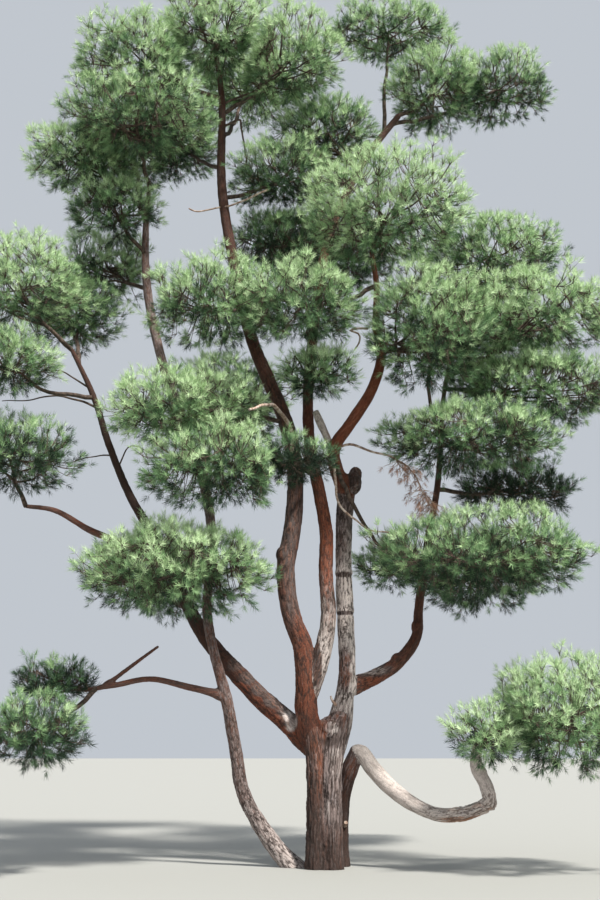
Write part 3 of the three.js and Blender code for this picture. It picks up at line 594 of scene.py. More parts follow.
face_kinds = kind_of_bark[vertex_of_loop[corner_of_face]].astype(np.int32)
keep_values(skin, "bark_kind", face_kinds, "INT", "FACE")


def add_node(tree, kind, inputs=(), **settings):
    """One node, its settings, and its inputs: values, or outputs of other nodes."""
    made = tree.nodes.new(kind)
    for name, value in settings.items():
        setattr(made, name, value)
    for socket, value in dict(inputs).items():
        if isinstance(value, bpy.types.NodeSocket):
            tree.links.new(value, made.inputs[socket])
        else:
            made.inputs[socket].default_value = value
    return made


def reckon(tree, way, *values):
    """The result of a maths node on values or on other nodes' outputs."""
    return add_node(tree, "ShaderNodeMath", dict(enumerate(values)), operation=way).outputs[0]


def cloud(tree, where, scale, detail):
    """A soft noise: its value, then its colour."""
    return add_node(tree, "ShaderNodeTexNoise", {
        "Vector": where, "Scale": scale, "Detail": detail}).outputs


def cells(tree, where, scale, feature):
    return add_node(tree, "ShaderNodeTexVoronoi", {
        "Vector": where, "Scale": scale}, feature=feature).outputs


def kept(tree, name, kind):
    """What a mesh keeps under the name at each of its points or faces."""
    return add_node(
        tree, "GeometryNodeInputNamedAttribute", {"Name": name}, data_type=kind
    ).outputs["Attribute"]


def growing_tree(name, sizes):
    """An empty Geometry Nodes tree with named inputs: a socket kind and a value for each."""
    tree = bpy.data.node_groups.new(name, "GeometryNodeTree")
    for direction in ("INPUT", "OUTPUT"):
        tree.interface.new_socket("Geometry", in_out=direction, socket_type="NodeSocketGeometry")
    for label, (kind, value) in sizes.items():
        socket = tree.interface.new_socket(label, in_out="INPUT", socket_type="NodeSocket" + kind)
        socket.default_value = value
    return tree, tree.nodes.new("NodeGroupInput").outputs


def end_tree(tree, geometry, materials):
    """Realizes what the tree made, gives it its material, and hands it on. Where there are several
    materials, the attribute tone tells which one each face gets."""
    last = add_node(tree, "GeometryNodeRealizeInstances", {"Geometry": geometry})
    for number, material in enumerate(materials):
        chosen = {"Geometry": last.outputs["Geometry"], "Material": material}
        if len(materials) > 1:
            same = add_node(tree, "FunctionNodeCompare", data_type="INT", operation="EQUAL")
            sides = {socket.identifier: socket for socket in same.inputs}
            tree.links.new(kept(tree, "tone", "INT"), sides["A_INT"])
            sides["B_INT"].default_value = number
            chosen["Selection"] = same.outputs["Result"]
        last = add_node(tree, "GeometryNodeSetMaterial", chosen)
    add_node(tree, "NodeGroupOutput", {"Geometry": last.outputs["Geometry"]})


def grow(obj, tree, name, **inputs):
    """Runs the tree on the object and gives the plain mesh it makes."""
    modifier = obj.modifiers.new(tree.name, "NODES")
    modifier.node_group = tree
    for item in tree.interface.items_tree:
        if item.in_out == "INPUT" and item.name in inputs:
            modifier[item.identifier] = inputs[item.name]
    mesh = finished_mesh(obj, name)
    obj.modifiers.remove(modifier)
    return mesh


# Bark: plates with fissures between them, loose flakes on the plates and fine grain, all longer
# along the limb than round it. They stand out of the skin as deep as each limb's bark is thick.
PLATE_LENGTH = 6.0
PLATE_WANDER = 1.1
SKIN_LEVEL = 0.8  # the bark's height that stays where the skin is
PLATE_HEIGHT = 0.6
FLAKE_HEIGHTS = (0.28, 0.1)
LEAD = (0.55, 2.0)  # each noise: how many to a plate's width, and its detail
SWELL = (1.3, 3.0)
BLOTCH = (0.7, 5.0)
ISLAND = (1.7, 6.0)
GRAIN = (9.0, 6.0)
GRAIN_LENGTH = 5.0
GRAIN_WANDER = 0.4
GRAIN_SHADES = ((0.3, 0.55), (0.72, 1.25))
GRAIN_ROUGHNESS = (0.95, 0.72)
FLAKE_CELLS = 2.3
RIM_CELLS = 2.6
BARK_BUMP = {"Strength": 0.55, "Distance": 0.006}
# The colour of pale bark, also used as painted sunlight on bark.
PALE_BARK_AND_PAINTED_SUN = (0.68, 0.59, 0.55, 1)
# Each fissure colour also serves as painted shade where a limb's lightness is below zero.
BARKS = {
    "grey": dict(
        plain=(0.14, 0.1, 0.09, 1), warm=(0.22, 0.07, 0.032, 1), fissure_and_painted_shade=(0.024, 0.012, 0.008, 1),
        flake=(0.42, 0.33, 0.31, 1), patch=(0.25, 0.205, 0.2, 1),
        patch_share=0.4, flake_share=0.5, crack_share=0.97),
    "red": dict(
        plain=(0.115, 0.085, 0.078, 1), warm=(0.215, 0.052, 0.02, 1),
        fissure_and_painted_shade=(0.024, 0.01, 0.006, 1), flake=(0.34, 0.14, 0.08, 1), patch=(0.2, 0.14, 0.13, 1),
        patch_share=0.1, flake_share=0.45, crack_share=0.95),
    "pale": dict(
        plain=(0.64, 0.55, 0.5, 1), warm=(0.42, 0.2, 0.11, 1), fissure_and_painted_shade=(0.1, 0.06, 0.045, 1),
        flake=(0.78, 0.71, 0.65, 1), patch=(0.72, 0.64, 0.59, 1),
        patch_share=0.6, flake_share=0.3, crack_share=0.85),
}


def stretched(tree, place, length, wander, seed):
    """The place in plates, drawn together along the limb by the length, and led off by a noise."""
    lead = cloud(tree, place, *LEAD)["Color"]
    centred = add_node(tree, "ShaderNodeVectorMath", {
        0: lead, 1: (-0.5 + seed, -0.5, -0.5)}, operation="ADD")
    moved = add_node(tree, "ShaderNodeVectorMath", {
        0: centred.outputs[0], 1: (wander, wander, wander), 2: place}, operation="MULTIPLY_ADD")
    squeeze = add_node(tree, "ShaderNodeCombineXYZ", {
        "X": 1.0, "Y": 1.0, "Z": reckon(tree, "DIVIDE", 1.0, length)})
    return add_node(tree, "ShaderNodeVectorMath", {
        0: moved.outputs[0], 1: squeeze.outputs[0]}, operation="MULTIPLY").outputs[0]


relief_tree, relief_sizes = growing_tree("bark_relief", {
    "Plate length": ("Float", PLATE_LENGTH),
    "Fissure width": ("Float", 0.3),
    "Flake count": ("Float", 2.0),
    "Unevenness": ("Float", 0.5),
})
place = kept(relief_tree, "bark_place", "FLOAT_VECTOR")
plates = stretched(relief_tree, place, relief_sizes["Plate length"], PLATE_WANDER, 0.0)
plate = add_node(relief_tree, "ShaderNodeMapRange", {
    "Value": cells(relief_tree, plates, 1.0, "DISTANCE_TO_EDGE")["Distance"],
    "From Min": 0.0, "From Max": relief_sizes["Fissure width"]}, interpolation_type="SMOOTHSTEP")
flake = add_node(relief_tree, "ShaderNodeSeparateXYZ", {
    "Vector": cells(relief_tree, plates, relief_sizes["Flake count"], "F1")["Color"]})
swell = cloud(relief_tree, place, *SWELL)[0]
lifted = reckon(relief_tree, "MULTIPLY_ADD", flake.outputs["X"], *FLAKE_HEIGHTS)
uneven = reckon(relief_tree, "MULTIPLY_ADD", swell, relief_sizes["Unevenness"], lifted)
height = reckon(relief_tree, "MULTIPLY_ADD", plate.outputs[0], PLATE_HEIGHT, uneven)
stored = add_node(relief_tree, "GeometryNodeStoreNamedAttribute", {
    "Geometry": relief_sizes["Geometry"], "Name": "bark_height", "Value": height},
    data_type="FLOAT", domain="POINT")
risen = reckon(relief_tree, "MULTIPLY", reckon(relief_tree, "SUBTRACT", height, SKIN_LEVEL),
               kept(relief_tree, "bark_depth", "FLOAT"))
push = add_node(relief_tree, "ShaderNodeVectorMath", {
    0: relief_tree.nodes.new("GeometryNodeInputNormal").outputs[0], "Scale": risen},
    operation="SCALE")
pushed = add_node(relief_tree, "GeometryNodeSetPosition", {
    "Geometry": stored.outputs["Geometry"], "Offset": push.outputs[0]})
smooth_shaded = add_node(relief_tree, "GeometryNodeSetShadeSmooth", {
    "Geometry": pushed.outputs["Geometry"], "Shade Smooth": True})
end_tree(relief_tree, smooth_shaded.outputs["Geometry"], [])


def bark_finish(name, plain, warm, fissure_and_painted_shade, flake, patch, patch_share, flake_share, crack_share):
    """Bark: a plain and a warm colour mixed by redness, darker fissures, lighter flakes, patches
    of another colour, and grain along the limb. Lightness above zero draws it to pale bark and
    painted sunlight, and below zero to painted shade in the fissure colour."""
    finish, surface = new_finish(name)
    tree = finish.node_tree

    def known(attribute):
        return add_node(tree, "ShaderNodeAttribute", attribute_name=attribute).outputs["Fac"]

    def spread(value, low, high, to=(0.0, 1.0)):
        return add_node(tree, "ShaderNodeMapRange", {
            "Value": value, "From Min": low, "From Max": high, "To Min": to[0], "To Max": to[1]},
            interpolation_type="SMOOTHSTEP").outputs[0]

    def mixed(share, one, two, way="MIX"):
        return add_node(tree, "ShaderNodeMix", {
            0: share, 6: one, 7: two}, data_type="RGBA", blend_type=way).outputs[2]

    place = add_node(tree, "ShaderNodeAttribute", attribute_name="bark_place").outputs["Vector"]
    drawn = stretched(tree, place, PLATE_LENGTH, PLATE_WANDER, 0.0)
    blotch = cloud(tree, drawn, *BLOTCH)[0]
    leaning = reckon(tree, "MULTIPLY_ADD", blotch, 1.2, known("redness"))
    base = mixed(spread(leaning, 0.75, 1.45), plain, warm)
    island = cloud(tree, drawn, *ISLAND)[0]
    patched = spread(island, 0.62 - 0.3 * patch_share, 0.72 - 0.2 * patch_share)
    not_red = spread(known("redness"), 0.6, 1.4, (1.0, 0.0))
    base = mixed(reckon(tree, "MULTIPLY", patched, not_red), base, patch)
    cell = add_node(tree, "ShaderNodeSeparateXYZ", {
        "Vector": cells(tree, drawn, FLAKE_CELLS, "F1")["Color"]}).outputs
    base = mixed(spread(cell["X"], 0.3, 1.0, (0.0, flake_share)), base, flake)
    base = mixed(spread(cell["Y"], 0.5, 1.0, (0.0, flake_share * 0.6)), base, fissure_and_painted_shade)
    # Painted light and shade: lightness above zero mixes in the pale colour, for pale bark and for
    # painted sunlight, and below zero it mixes in the fissure colour as painted shade.
    lightness = known("lightness")
    uneven_light = reckon(tree, "MULTIPLY_ADD", island, 0.9, lightness)
    base = mixed(spread(uneven_light, 0.5, 1.25), base, PALE_BARK_AND_PAINTED_SUN)
    base = mixed(spread(lightness, -1.2, 0.0, (0.9, 0.0)), base, fissure_and_painted_shade)
    crack = spread(known("bark_height"), 0.35, 0.85, (crack_share, 0.0))
    deep = spread(known("bark_depth"), 0.0, 0.009, (0.15, 1.0))
    base = mixed(reckon(tree, "MULTIPLY", crack, deep), base, fissure_and_painted_shade)
    streaks = stretched(tree, place, GRAIN_LENGTH, GRAIN_WANDER, 0.3)
    grain = cloud(tree, streaks, *GRAIN)[0]
    shade = add_node(tree, "ShaderNodeValToRGB", {"Fac": grain})
    for stop, (where, grey) in zip(shade.color_ramp.elements, GRAIN_SHADES):
        stop.position, stop.color = where, (grey, grey, grey, 1)
    coloured = mixed(1.0, base, shade.outputs["Color"], "MULTIPLY")
    tree.links.new(coloured, surface.inputs["Base Color"])
    tree.links.new(spread(grain, 0.2, 0.8, GRAIN_ROUGHNESS), surface.inputs["Roughness"])
    rim = spread(cells(tree, drawn, RIM_CELLS, "DISTANCE_TO_EDGE")["Distance"], 0.0, 0.12)
    bump = add_node(tree, "ShaderNodeBump", {
        **BARK_BUMP, "Height": reckon(tree, "MULTIPLY_ADD", grain, 0.6, rim)})
    tree.links.new(bump.outputs[0], surface.inputs["Normal"])
    return finish


bark_finishes = {kind: bark_finish(kind + "_bark", **look) for kind, look in BARKS.items()}
body = put_in_scene("wood_body", skin)
carved = grow(body, relief_tree, "carved_wood")
take_away(body)

whole = bmesh.new()
whole.from_mesh(carved)
cut = bmesh.ops.bisect_plane(
    whole, geom=whole.verts[:] + whole.edges[:] + whole.faces[:],
    plane_co=(0, 0, GROUND), plane_no=(0, 0, -1), clear_outer=True)
rim = [part for part in cut["geom_cut"] if isinstance(part, bmesh.types.BMEdge)]
kind_layer = whole.faces.layers.int["bark_kind"]
for face in bmesh.ops.holes_fill(whole, edges=rim)["faces"]:
    face[kind_layer] = 0
whole.to_mesh(carved)
whole.free()

for number, (kind, piece_name) in enumerate(BARK_PIECES.items()):
    part = bmesh.new()
    part.from_mesh(carved)
    layer = part.faces.layers.int["bark_kind"]
    others = [face for face in part.faces if face[layer] != number]
    bmesh.ops.delete(part, geom=others, context="FACES")
    mesh = bpy.data.meshes.new(piece_name)
    part.to_mesh(mesh)
    part.free()
    mesh.attributes.remove(mesh.attributes["bark_kind"])
    mesh.materials.clear()
    mesh.materials.append(bark_finishes[kind.removesuffix("_bough")])
    piece = put_in_scene(piece_name, mesh)
    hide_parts(*[name for name, limb in LIMBS.items() if limb["bark"] == kind])
    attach(piece, "root")
bpy.data.meshes.remove(carved)


# Bare branches: thin live and dead ones that show below and between the masses of needles. Each is
# a path of (x, y, z) bends, with its radius in metres at the root and at the tip.
BARE_BRANCHES = {
    "bare_live_branches": ("bark_red", "thin_bark", [
        ([(-3.08, -0.08, 6.0), (-3.6, -0.1, 6.17), (-4.0, -0.15, 6.11), (-4.37, -0.2, 6.07)],
         (0.018, 0.006)),
        ([(-3.2, -0.12, 6.28), (-3.59, -0.1, 6.51), (-3.87, -0.2, 6.51)], (0.014, 0.006)),
        ([(-2.85, -0.04, 5.35), (-3.2, 0.1, 5.36), (-3.44, 0.2, 5.31)], (0.012, 0.005)),
        ([(-2.78, -0.02, 5.2), (-2.62, -0.1, 5.47), (-2.3, -0.2, 5.32)], (0.012, 0.005)),
        ([(1.66, 0.6, 5.7), (1.5, 0.45, 6.5), (1.63, 0.3, 6.88), (2.09, 0.2, 6.79),
          (2.5, 0.1, 6.86)], (0.03, 0.014)),
        ([(0.74, -0.38, 6.93), (0.89, -0.5, 6.84), (1.22, -0.6, 6.67)], (0.022, 0.01)),
        ([(-1.47, 0.3, 10.4), (-1.22, 0.28, 10.5), (-1.17, 0.2, 10.21), (-1.1, 0.3, 9.82)],
         (0.02, 0.009)),
        ([(-1.48, 0.3, 10.75), (-0.69, 0.2, 11.07), (-0.35, 0, 11.13)], (0.018, 0.008)),
    ]),
    "bare_dead_branches": ("bark_pale", "dead_wood", [
        ([(0.1, -0.1, 5.4), (0.15, -0.17, 5.1), (0.16, -0.2, 4.85), (0.2, -0.22, 4.62),
          (0.33, -0.26, 4.49), (0.51, -0.3, 4.33), (0.65, -0.34, 4.27), (0.94, -0.4, 4.22)],
         (0.022, 0.008)),
        ([(-0.42, 0.1, 5.3), (-0.45, -0.3, 5.62), (-0.56, -0.65, 5.76), (-0.67, -1, 5.8),
          (-0.8, -1.3, 5.7), (-0.95, -1.6, 5.58)], (0.036, 0.016)),
        ([(0.6, -0.36, 7.05), (0.36, -0.5, 6.98), (0.46, -0.5, 6.93), (0.46, -0.48, 6.8),
          (0.42, -0.45, 6.72)], (0.018, 0.01)),
        ([(0.95, -0.3, 5.25), (1.02, -0.33, 5.12), (1.1, -0.35, 5.02)], (0.01, 0.004)),
        ([(0.2, 0.02, 1.98), (0.12, -0.02, 2.06), (0.08, -0.02, 2.14)], (0.026, 0.012)),
        ([(0.22, 0.28, 0.5), (0.26, 0.17, 0.53), (0.27, 0.13, 0.55)], (0.03, 0.024)),
        ([(-0.78, 0.12, 9.31), (-1.17, 0.16, 9.14), (-1.48, 0.27, 9.1), (-1.82, 0.25, 9.04),
          (-1.93, 0.25, 9.08)], (0.016, 0.011)),
    ]),
}
BRANCH_SPACING = 0.05
BRANCH_CROOK = 0.03
CROOK_SIZE = 0.25
PATCH_STOPS = (0.35, 0.5, 0.62)
PATCH_DETAIL = 4.0
THIN_ROUGHNESS = {"To Min": 0.95, "To Max": 0.7}
THIN_BUMP = {"Strength": 0.5, "Distance": 0.003}


def branch_wires(paths):
    """Edges along the paths, which the wood tree turns into tapering wood."""
    corners, edges, radii = [], [], []
    for points, thickness in paths:
        first = len(corners)
        corners.extend(points)
        radii.extend(thickness)
        edges.extend((first + step, first + step + 1) for step in range(len(points) - 1))
    mesh = bpy.data.meshes.new("wires")
    mesh.from_pydata([tuple(corner) for corner in corners], edges, [])
    keep_values(mesh, "thickness", radii)
    return mesh


def bent_path(stops, thickness, spacing, crook, seed):
    """A smooth path through the stops, with small crooks, and its radii from root to tip."""
    _, points, _, lengths = walk([(*stop, 0.0) for stop in stops], spacing)
    leads = [unevenness(points, CROOK_SIZE, seed + axis * 11) for axis in range(3)]
    middle = np.sin(np.linspace(0, math.pi, len(points))) ** 0.5
    points = points + (np.array(leads) * crook * middle).T
    return points, np.interp(lengths, (0, lengths[-1]), thickness)


def wood_tree(name, material):
    """Turns wires into rods as thick as each point tells."""
    tree, sizes = growing_tree(name, {"Sides": ("Int", 5)})
    lines = add_node(tree, "GeometryNodeMeshToCurve", {"Mesh": sizes["Geometry"]})
    ring = add_node(tree, "GeometryNodeCurvePrimitiveCircle", {
        "Resolution": sizes["Sides"], "Radius": 1.0})
    rods = add_node(tree, "GeometryNodeCurveToMesh", {
        "Curve": lines.outputs["Curve"], "Profile Curve": ring.outputs["Curve"],
        "Scale": kept(tree, "thickness", "FLOAT"), "Fill Caps": True})
    rounded = add_node(tree, "GeometryNodeSetShadeSmooth", {
        "Geometry": rods.outputs["Mesh"], "Shade Smooth": True})
    end_tree(tree, rounded.outputs["Geometry"], [material])
    return tree


def thin_bark_finish(name, dark, middle, light, size):
    """Bark too thin for plates: three colours in small patches, and a light bump."""
    finish, surface = new_finish(name)
    tree = finish.node_tree
    where = add_node(tree, "ShaderNodeTexCoord").outputs["Object"]
    scales = cloud(tree, where, size, PATCH_DETAIL)[0]
    ramp = add_node(tree, "ShaderNodeValToRGB", {"Fac": scales})
    first, last = ramp.color_ramp.elements
    first.position, first.color = PATCH_STOPS[0], dark
    last.position, last.color = PATCH_STOPS[2], light
    ramp.color_ramp.elements.new(PATCH_STOPS[1]).color = middle
    tree.links.new(ramp.outputs["Color"], surface.inputs["Base Color"])
    rough = add_node(tree, "ShaderNodeMapRange", {**THIN_ROUGHNESS, "Value": scales})
    tree.links.new(rough.outputs[0], surface.inputs["Roughness"])
    bump = add_node(tree, "ShaderNodeBump", {**THIN_BUMP, "Height": scales})
    tree.links.new(bump.outputs[0], surface.inputs["Normal"])
    return finish


thin_bark = thin_bark_finish(
    "thin_bark", (0.03, 0.021, 0.016, 1), (0.072, 0.047, 0.034, 1), (0.125, 0.086, 0.064, 1), 26)
dead_wood = thin_bark_finish(
    "dead_wood", (0.2, 0.12, 0.09, 1), (0.42, 0.3, 0.23, 1), (0.62, 0.52, 0.45, 1), 18)
for name, (slot, finish, branches) in BARE_BRANCHES.items():
    paths = [
        bent_path(stops, thickness, BRANCH_SPACING, BRANCH_CROOK, seed)
        for seed, (stops, thickness) in enumerate(branches)
    ]
    material = {"thin_bark": thin_bark, "dead_wood": dead_wood}[finish]
    wires = put_in_scene(name + "_wires", branch_wires(paths))
    piece = put_in_scene(name, grow(wires, wood_tree(name, material), name, Sides=8))
    take_away(wires)
    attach(piece, "root")


# Masses of foliage: each grows in its own space from a stem that leaves a limb at one of its bends.
# A row has its name, the limb, the bend, the centre, the half sizes, and a bend of the stem.
# All rows under one heading are joined into one piece of twigs and one of needles.
MASSES = {
    "top": [
        ("crown_top", "left_fork_stem", 15, (-1.56, -0.15, 11.66), (0.85, 0.75, 0.6)),
        ("crown_top_left", "left_fork_stem", 14, (-2.65, -0.2, 11.16), (0.92, 0.8, 0.55)),
        ("crown_top_right", "left_fork_stem", 13.8, (-0.51, 0, 11.28), (0.82, 0.8, 0.58)),
        ("crown_top_back", "left_fork_stem", 13.5, (-1.15, 1.75, 11.85), (0.9, 0.85, 0.5)),
        ("upper_left_inner", "left_fork_stem", 13.2, (-2.2, 1.3, 10.65), (0.66, 0.75, 0.48)),
        ("upper_middle", "left_fork_stem", 12.85, (-0.56, 0.45, 9.65), (0.78, 0.74, 0.42)),
    ],
    "upper_left": [
        ("upper_left_front", "leaning_left_stem", 14, (-2.62, -0.6, 10.06), (0.98, 0.88, 0.5)),
        ("upper_left_tip", "leaning_left_stem", 13.6, (-3.43, 0.3, 9.87), (0.85, 0.85, 0.47)),
        ("upper_left_back", "leaning_left_stem", 13.2, (-3, 2, 10.9), (0.85, 0.85, 0.56)),
        ("upper_left_low", "leaning_left_stem", 12.6, (-3.01, 0.25, 9.09), (0.65, 0.62, 0.4)),
        ("upper_left_fringe", "leaning_left_stem", 12, (-3.23, 1.25, 8.55), (0.7, 0.65, 0.45)),
        ("left_edge_high", "left_bough", 10, (-4.15, -0.5, 7.55), (0.85, 0.9, 0.54)),
        ("left_bough_top", "left_bough", 9.7, (-3.56, 0.6, 7.56), (0.62, 0.75, 0.4)),
    ],
    "left": [
        ("left_edge_middle", "left_bough", 9, (-4.2, -0.75, 6.45), (0.65, 0.65, 0.38),
         (-3.7, -0.35, 6.15)),
        ("left_edge_low", "left_far_branch", 4, (-4.2, -0.3, 5.25), (0.82, 0.85, 0.45)),
        ("middle_left_high", "left_fork_stem", 11.4, (-1.49, -0.55, 7.3), (0.88, 0.85, 0.5)),
        ("middle_left", "leaning_left_stem", 9.3, (-1.85, -0.95, 5.72), (1, 0.9, 0.42)),
        ("middle_left_low", "left_fork_stem", 8.9, (-1.35, -1.4, 4.87), (0.9, 0.85, 0.44),
         (-1, -0.1, 5.9)),
        ("middle_front", "middle_red_stem", 6.6, (-0.36, -1.25, 4.99), (0.52, 0.6, 0.24)),
    ],
    "low_left": [
        ("middle_left_back", "left_fork_stem", 10, (-1.4, 2, 6.65), (0.95, 0.95, 0.58)),
        ("low_left", "left_bough", 5.5, (-1.85, -0.95, 3.65), (1.1, 0.95, 0.52)),
        ("low_left_back", "left_bough", 4.8, (-2.45, 1.75, 3.95), (0.95, 0.95, 0.52)),
        ("side_branch_tip", "left_side_branch", 4, (-3.4, -0.6, 2.28), (0.5, 0.5, 0.27)),
        ("low_far_left", "left_side_branch", 3.7, (-3.5, -1.3, 1.65), (0.62, 0.7, 0.38)),
    ],
    "upper_right": [
        ("upper_right_inner", "middle_red_stem", 10.9, (0.06, 0.95, 10.6), (0.8, 0.8, 0.5)),
        ("upper_right_top", "middle_red_stem", 11.6, (1.06, 1, 12.38), (0.95, 0.75, 0.36)),
        ("upper_right", "middle_red_stem", 12, (1.79, 1.05, 11.38), (0.8, 0.78, 0.56)),
        ("upper_right_far", "middle_red_stem", 11.8, (2.77, 1.25, 11.52), (0.8, 0.7, 0.48)),
        ("inner_dark", "middle_red_stem", 9.9, (-0.57, 0.9, 8.78), (0.78, 0.75, 0.52)),
        ("upper_back", "middle_red_stem", 9.8, (0.2, 2.3, 9.2), (1, 0.85, 0.64)),
    ],
    "front": [
        ("bright_front_top", "orange_bough", 8, (0.82, -0.8, 8.5), (1.04, 1, 0.68)),
        ("bright_front_low", "orange_bough", 7, (-0.32, -1.15, 7.07), (0.85, 0.8, 0.46)),
        ("centre_front", "middle_red_stem", 8.2, (-0.08, -0.65, 6.35), (0.5, 0.5, 0.34)),
        ("right_inner", "orange_bough", 5, (1.4, -0.85, 6.84), (0.84, 0.85, 0.72)),
        ("right_high", "right_bough", 9, (2.43, 0.6, 8.46), (1, 0.85, 0.5)),
    ],
    "right": [
        ("right_middle", "right_bough", 8.2, (2.86, -0.15, 7.27), (1.15, 0.95, 0.52),
         (2.3, 0.1, 6.75)),
        ("right_middle_back", "right_bough", 8.8, (2.45, 2.1, 7.7), (0.98, 0.95, 0.62)),
        ("right_edge", "right_bough", 8, (2.95, 0.15, 6.35), (1.15, 0.9, 0.5)),
        ("right_layer", "right_bough", 7, (1.95, -0.45, 5.48), (1.15, 0.9, 0.43)),
        ("right_shaded", "right_bough", 6, (2.78, 1.1, 5.09), (0.8, 0.8, 0.36)),
    ],
    "low_right": [
        ("right_low", "right_bough", 4.9, (2.02, -0.65, 3.86), (1.3, 1, 0.5)),
        ("right_low_inner", "orange_bough", 1.5, (0.95, 0.75, 3.95), (0.5, 0.55, 0.32),
         (0.45, -0.12, 4.55)),
        ("right_low_back", "right_bough", 4.6, (2.4, 2.4, 4), (0.95, 0.95, 0.52)),
        ("low_right", "low_limb_end", 5, (3, -0.75, 1.82), (1.1, 1.1, 0.64)),
        ("low_right_small", "low_limb_end", 3.8, (1.99, -0.88, 1.64), (0.48, 0.5, 0.32)),
    ],
}
# Masses that stand in the sun or in the shade of others: added to their sprays' lightness.
MASS_LIGHT = {
    "bright_front_top": 0.65, "bright_front_low": 0.2, "right_inner": 0.1, "right_high": 0.25,
    "right_middle": 0.7, "right_edge": 0.1, "right_layer": -0.05, "low_right": 0.35,
    "low_right_small": 0.35, "middle_left": 0.55, "middle_left_low": 0.1, "low_left": 0.25,
    "middle_left_high": 0.25, "left_edge_high": 0.6, "left_edge_low": -0.65, "upper_right": 0.3,
    "upper_right_top": 0.35, "inner_dark": -0.4, "right_shaded": -1.4, "low_left_back": -0.1,
    "upper_back": -0.2, "side_branch_tip": -1.1, "low_far_left": -0.75, "upper_left_tip": 0.5,
    "upper_left_low": -0.1, "upper_left_back": 0.5, "middle_front": -1.2, "crown_top": 0.75,
    "crown_top_left": 0.45, "crown_top_right": 0.6, "crown_top_back": 0.6, "right_low": -0.25,
    "upper_left_fringe": 0.3, "upper_left_front": 0.15, "right_middle_back": 0.3,
    "centre_front": 0.2, "left_edge_middle": 0.1,
}
MASS_WIDTH = 1.12
MASS_HEIGHT = 1.45
FLAT_BELOW = 0.8
MASS_GAP = 0.015
STEM_SAG = 0.06

spaces = []
for region, rows in MASSES.items():
    for name, carrier, bend, centre, half, *by in rows:
        root = curve_points(LIMBS[carrier]["route"], [bend])[0]
        centre = np.array(centre)
        sag = (root + centre) / 2 - (0, 0, STEM_SAG * np.linalg.norm(centre - root))
        spaces.append(dict(
            name=name, region=region, centre=centre,
            size=np.array(half) * (MASS_WIDTH, MASS_WIDTH, MASS_HEIGHT),
            stem=[root, np.array(by[0]) if by else sag, centre]))
for space in spaces:
    space["walls"] = []
    for other in spaces:
        between = other["centre"] - space["centre"]
        if other is space or (np.abs(between) > space["size"] + other["size"]).any():
            continue
        reaches = [1 / np.linalg.norm(between / one["size"]) for one in (space, other)]
        normal = between / ((space["size"] ** 2 + other["size"] ** 2) / 2)
        normal /= np.linalg.norm(normal)
        share = reaches[0] / sum(reaches)
        space["walls"].append((normal, normal @ between * share - MASS_GAP / 2))


# Twigs: boughlets fan out from the last part of the stem, finer twigs leave them for clumps spread
# through the outer part of the space, and each clump is a handful of shoots that turn up.
STEM_RADII = (0.036, 0.018)
STEM_SPACING = 0.12
STEM_CROOK = 0.05
STEM_INSIDE = 0.9  # boughlets leave the stem this far inside its space
BOUGHLETS_LEAST = 8
BOUGHLETS_PER_AREA = 0.55
BOUGHLET_REACH = 0.66
BOUGHLET_TIP = 0.008
BOUGHLET_SPACING = 0.13
BOUGHLET_SAG = 0.07
BOUGHLET_ROOT = 0.7  # of the stem's radius there
BOUGHLET_CUT = 0.6  # how much of its length is left where a limb is in its way
CLUMPS_PER_AREA = 33
CLUMP_LAYERS = ((0.58, 0.86, 1.03), (0.88, 0.62, 0.86), (1.0, 0.35, 0.62))  # odds, from, to
CLUMP_TURN = 0.55  # how far clumps turn up
CLUMP_LEAST = 0.25
BARE_BELOW = -0.25  # of a space's height: fewer clumps grow lower than this
BARE_ODDS = 0.4
LUMPS = ((1.9, 0, 1.0), (4.5, 9, 0.5))  # how many in a space, a shift, and how strong
LUMP_DEPTH = 0.26
TWIG_RADII = (0.007, 0.0055, 0.004)
TWIG_SAG = 0.08
TWIG_LEAST = 0.07
TWIG_INWARD = 0.5  # how much a twig avoids leaving from further out than its clump
SHOOTS_PER_CLUMP = 5
SHOOT_TURN = 0.15
SPRAY_LENGTH = 0.15
LIMB_ROOM = 0.09
TIP_ROOM = 0.05
WALL_ROOM = 0.4  # of the room kept to limbs
WALL_DEPTH = 0.03
WOOD_NEAR = 1.6  # how far round a space its limbs are minded, in its half sizes
BOUGHLET_LIFT = (-0.35, 1.15, 0.618)  # the least, the range, and the step from one to the next
# Painted light in the needles' tones: higher, outer and upward-facing shoots get lighter tones as
# painted sunlight, lower and inner ones darker tones as painted shade; clump and shoot add spread.
LIGHT = dict(middle=0.12, height=1.35, facing=0.35, outside=1.3, clump=0.5, shoot=0.34)
BOX_MARGIN = 0.02  # how far a clump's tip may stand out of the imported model's box
SPIRAL_TURN = 3 - math.sqrt(5)  # spreads things evenly, in half turns
box_low, box_high = np.array(cad_box)


def ellipsoid_area(size):
    a, b, c = size
    return 4 * math.pi * (((a * b) ** 1.6 + (a * c) ** 1.6 + (b * c) ** 1.6) / 3) ** (1 / 1.6)


def unit(vector):
    return vector / np.linalg.norm(vector)


def up(height):
    return np.array((0, 0, height))


def spot(space, direction, share):
    """A place in the space, counted from its centre. Below the centre the space is flatter."""
    heading = direction * space["size"] * share
    return heading * (1, 1, FLAT_BELOW) if heading[2] < 0 else heading


def free(space, offset, room):
    """Whether a place lies inside the space's walls and clear of the limbs."""
    if any(normal @ offset > wall - room * WALL_ROOM for normal, wall in space["walls"]):
        return False
    apart = np.linalg.norm(space["wood"][:, :3] - (space["centre"] + offset), axis=1)
    return bool((apart > space["wood"][:, 3] + room).all())


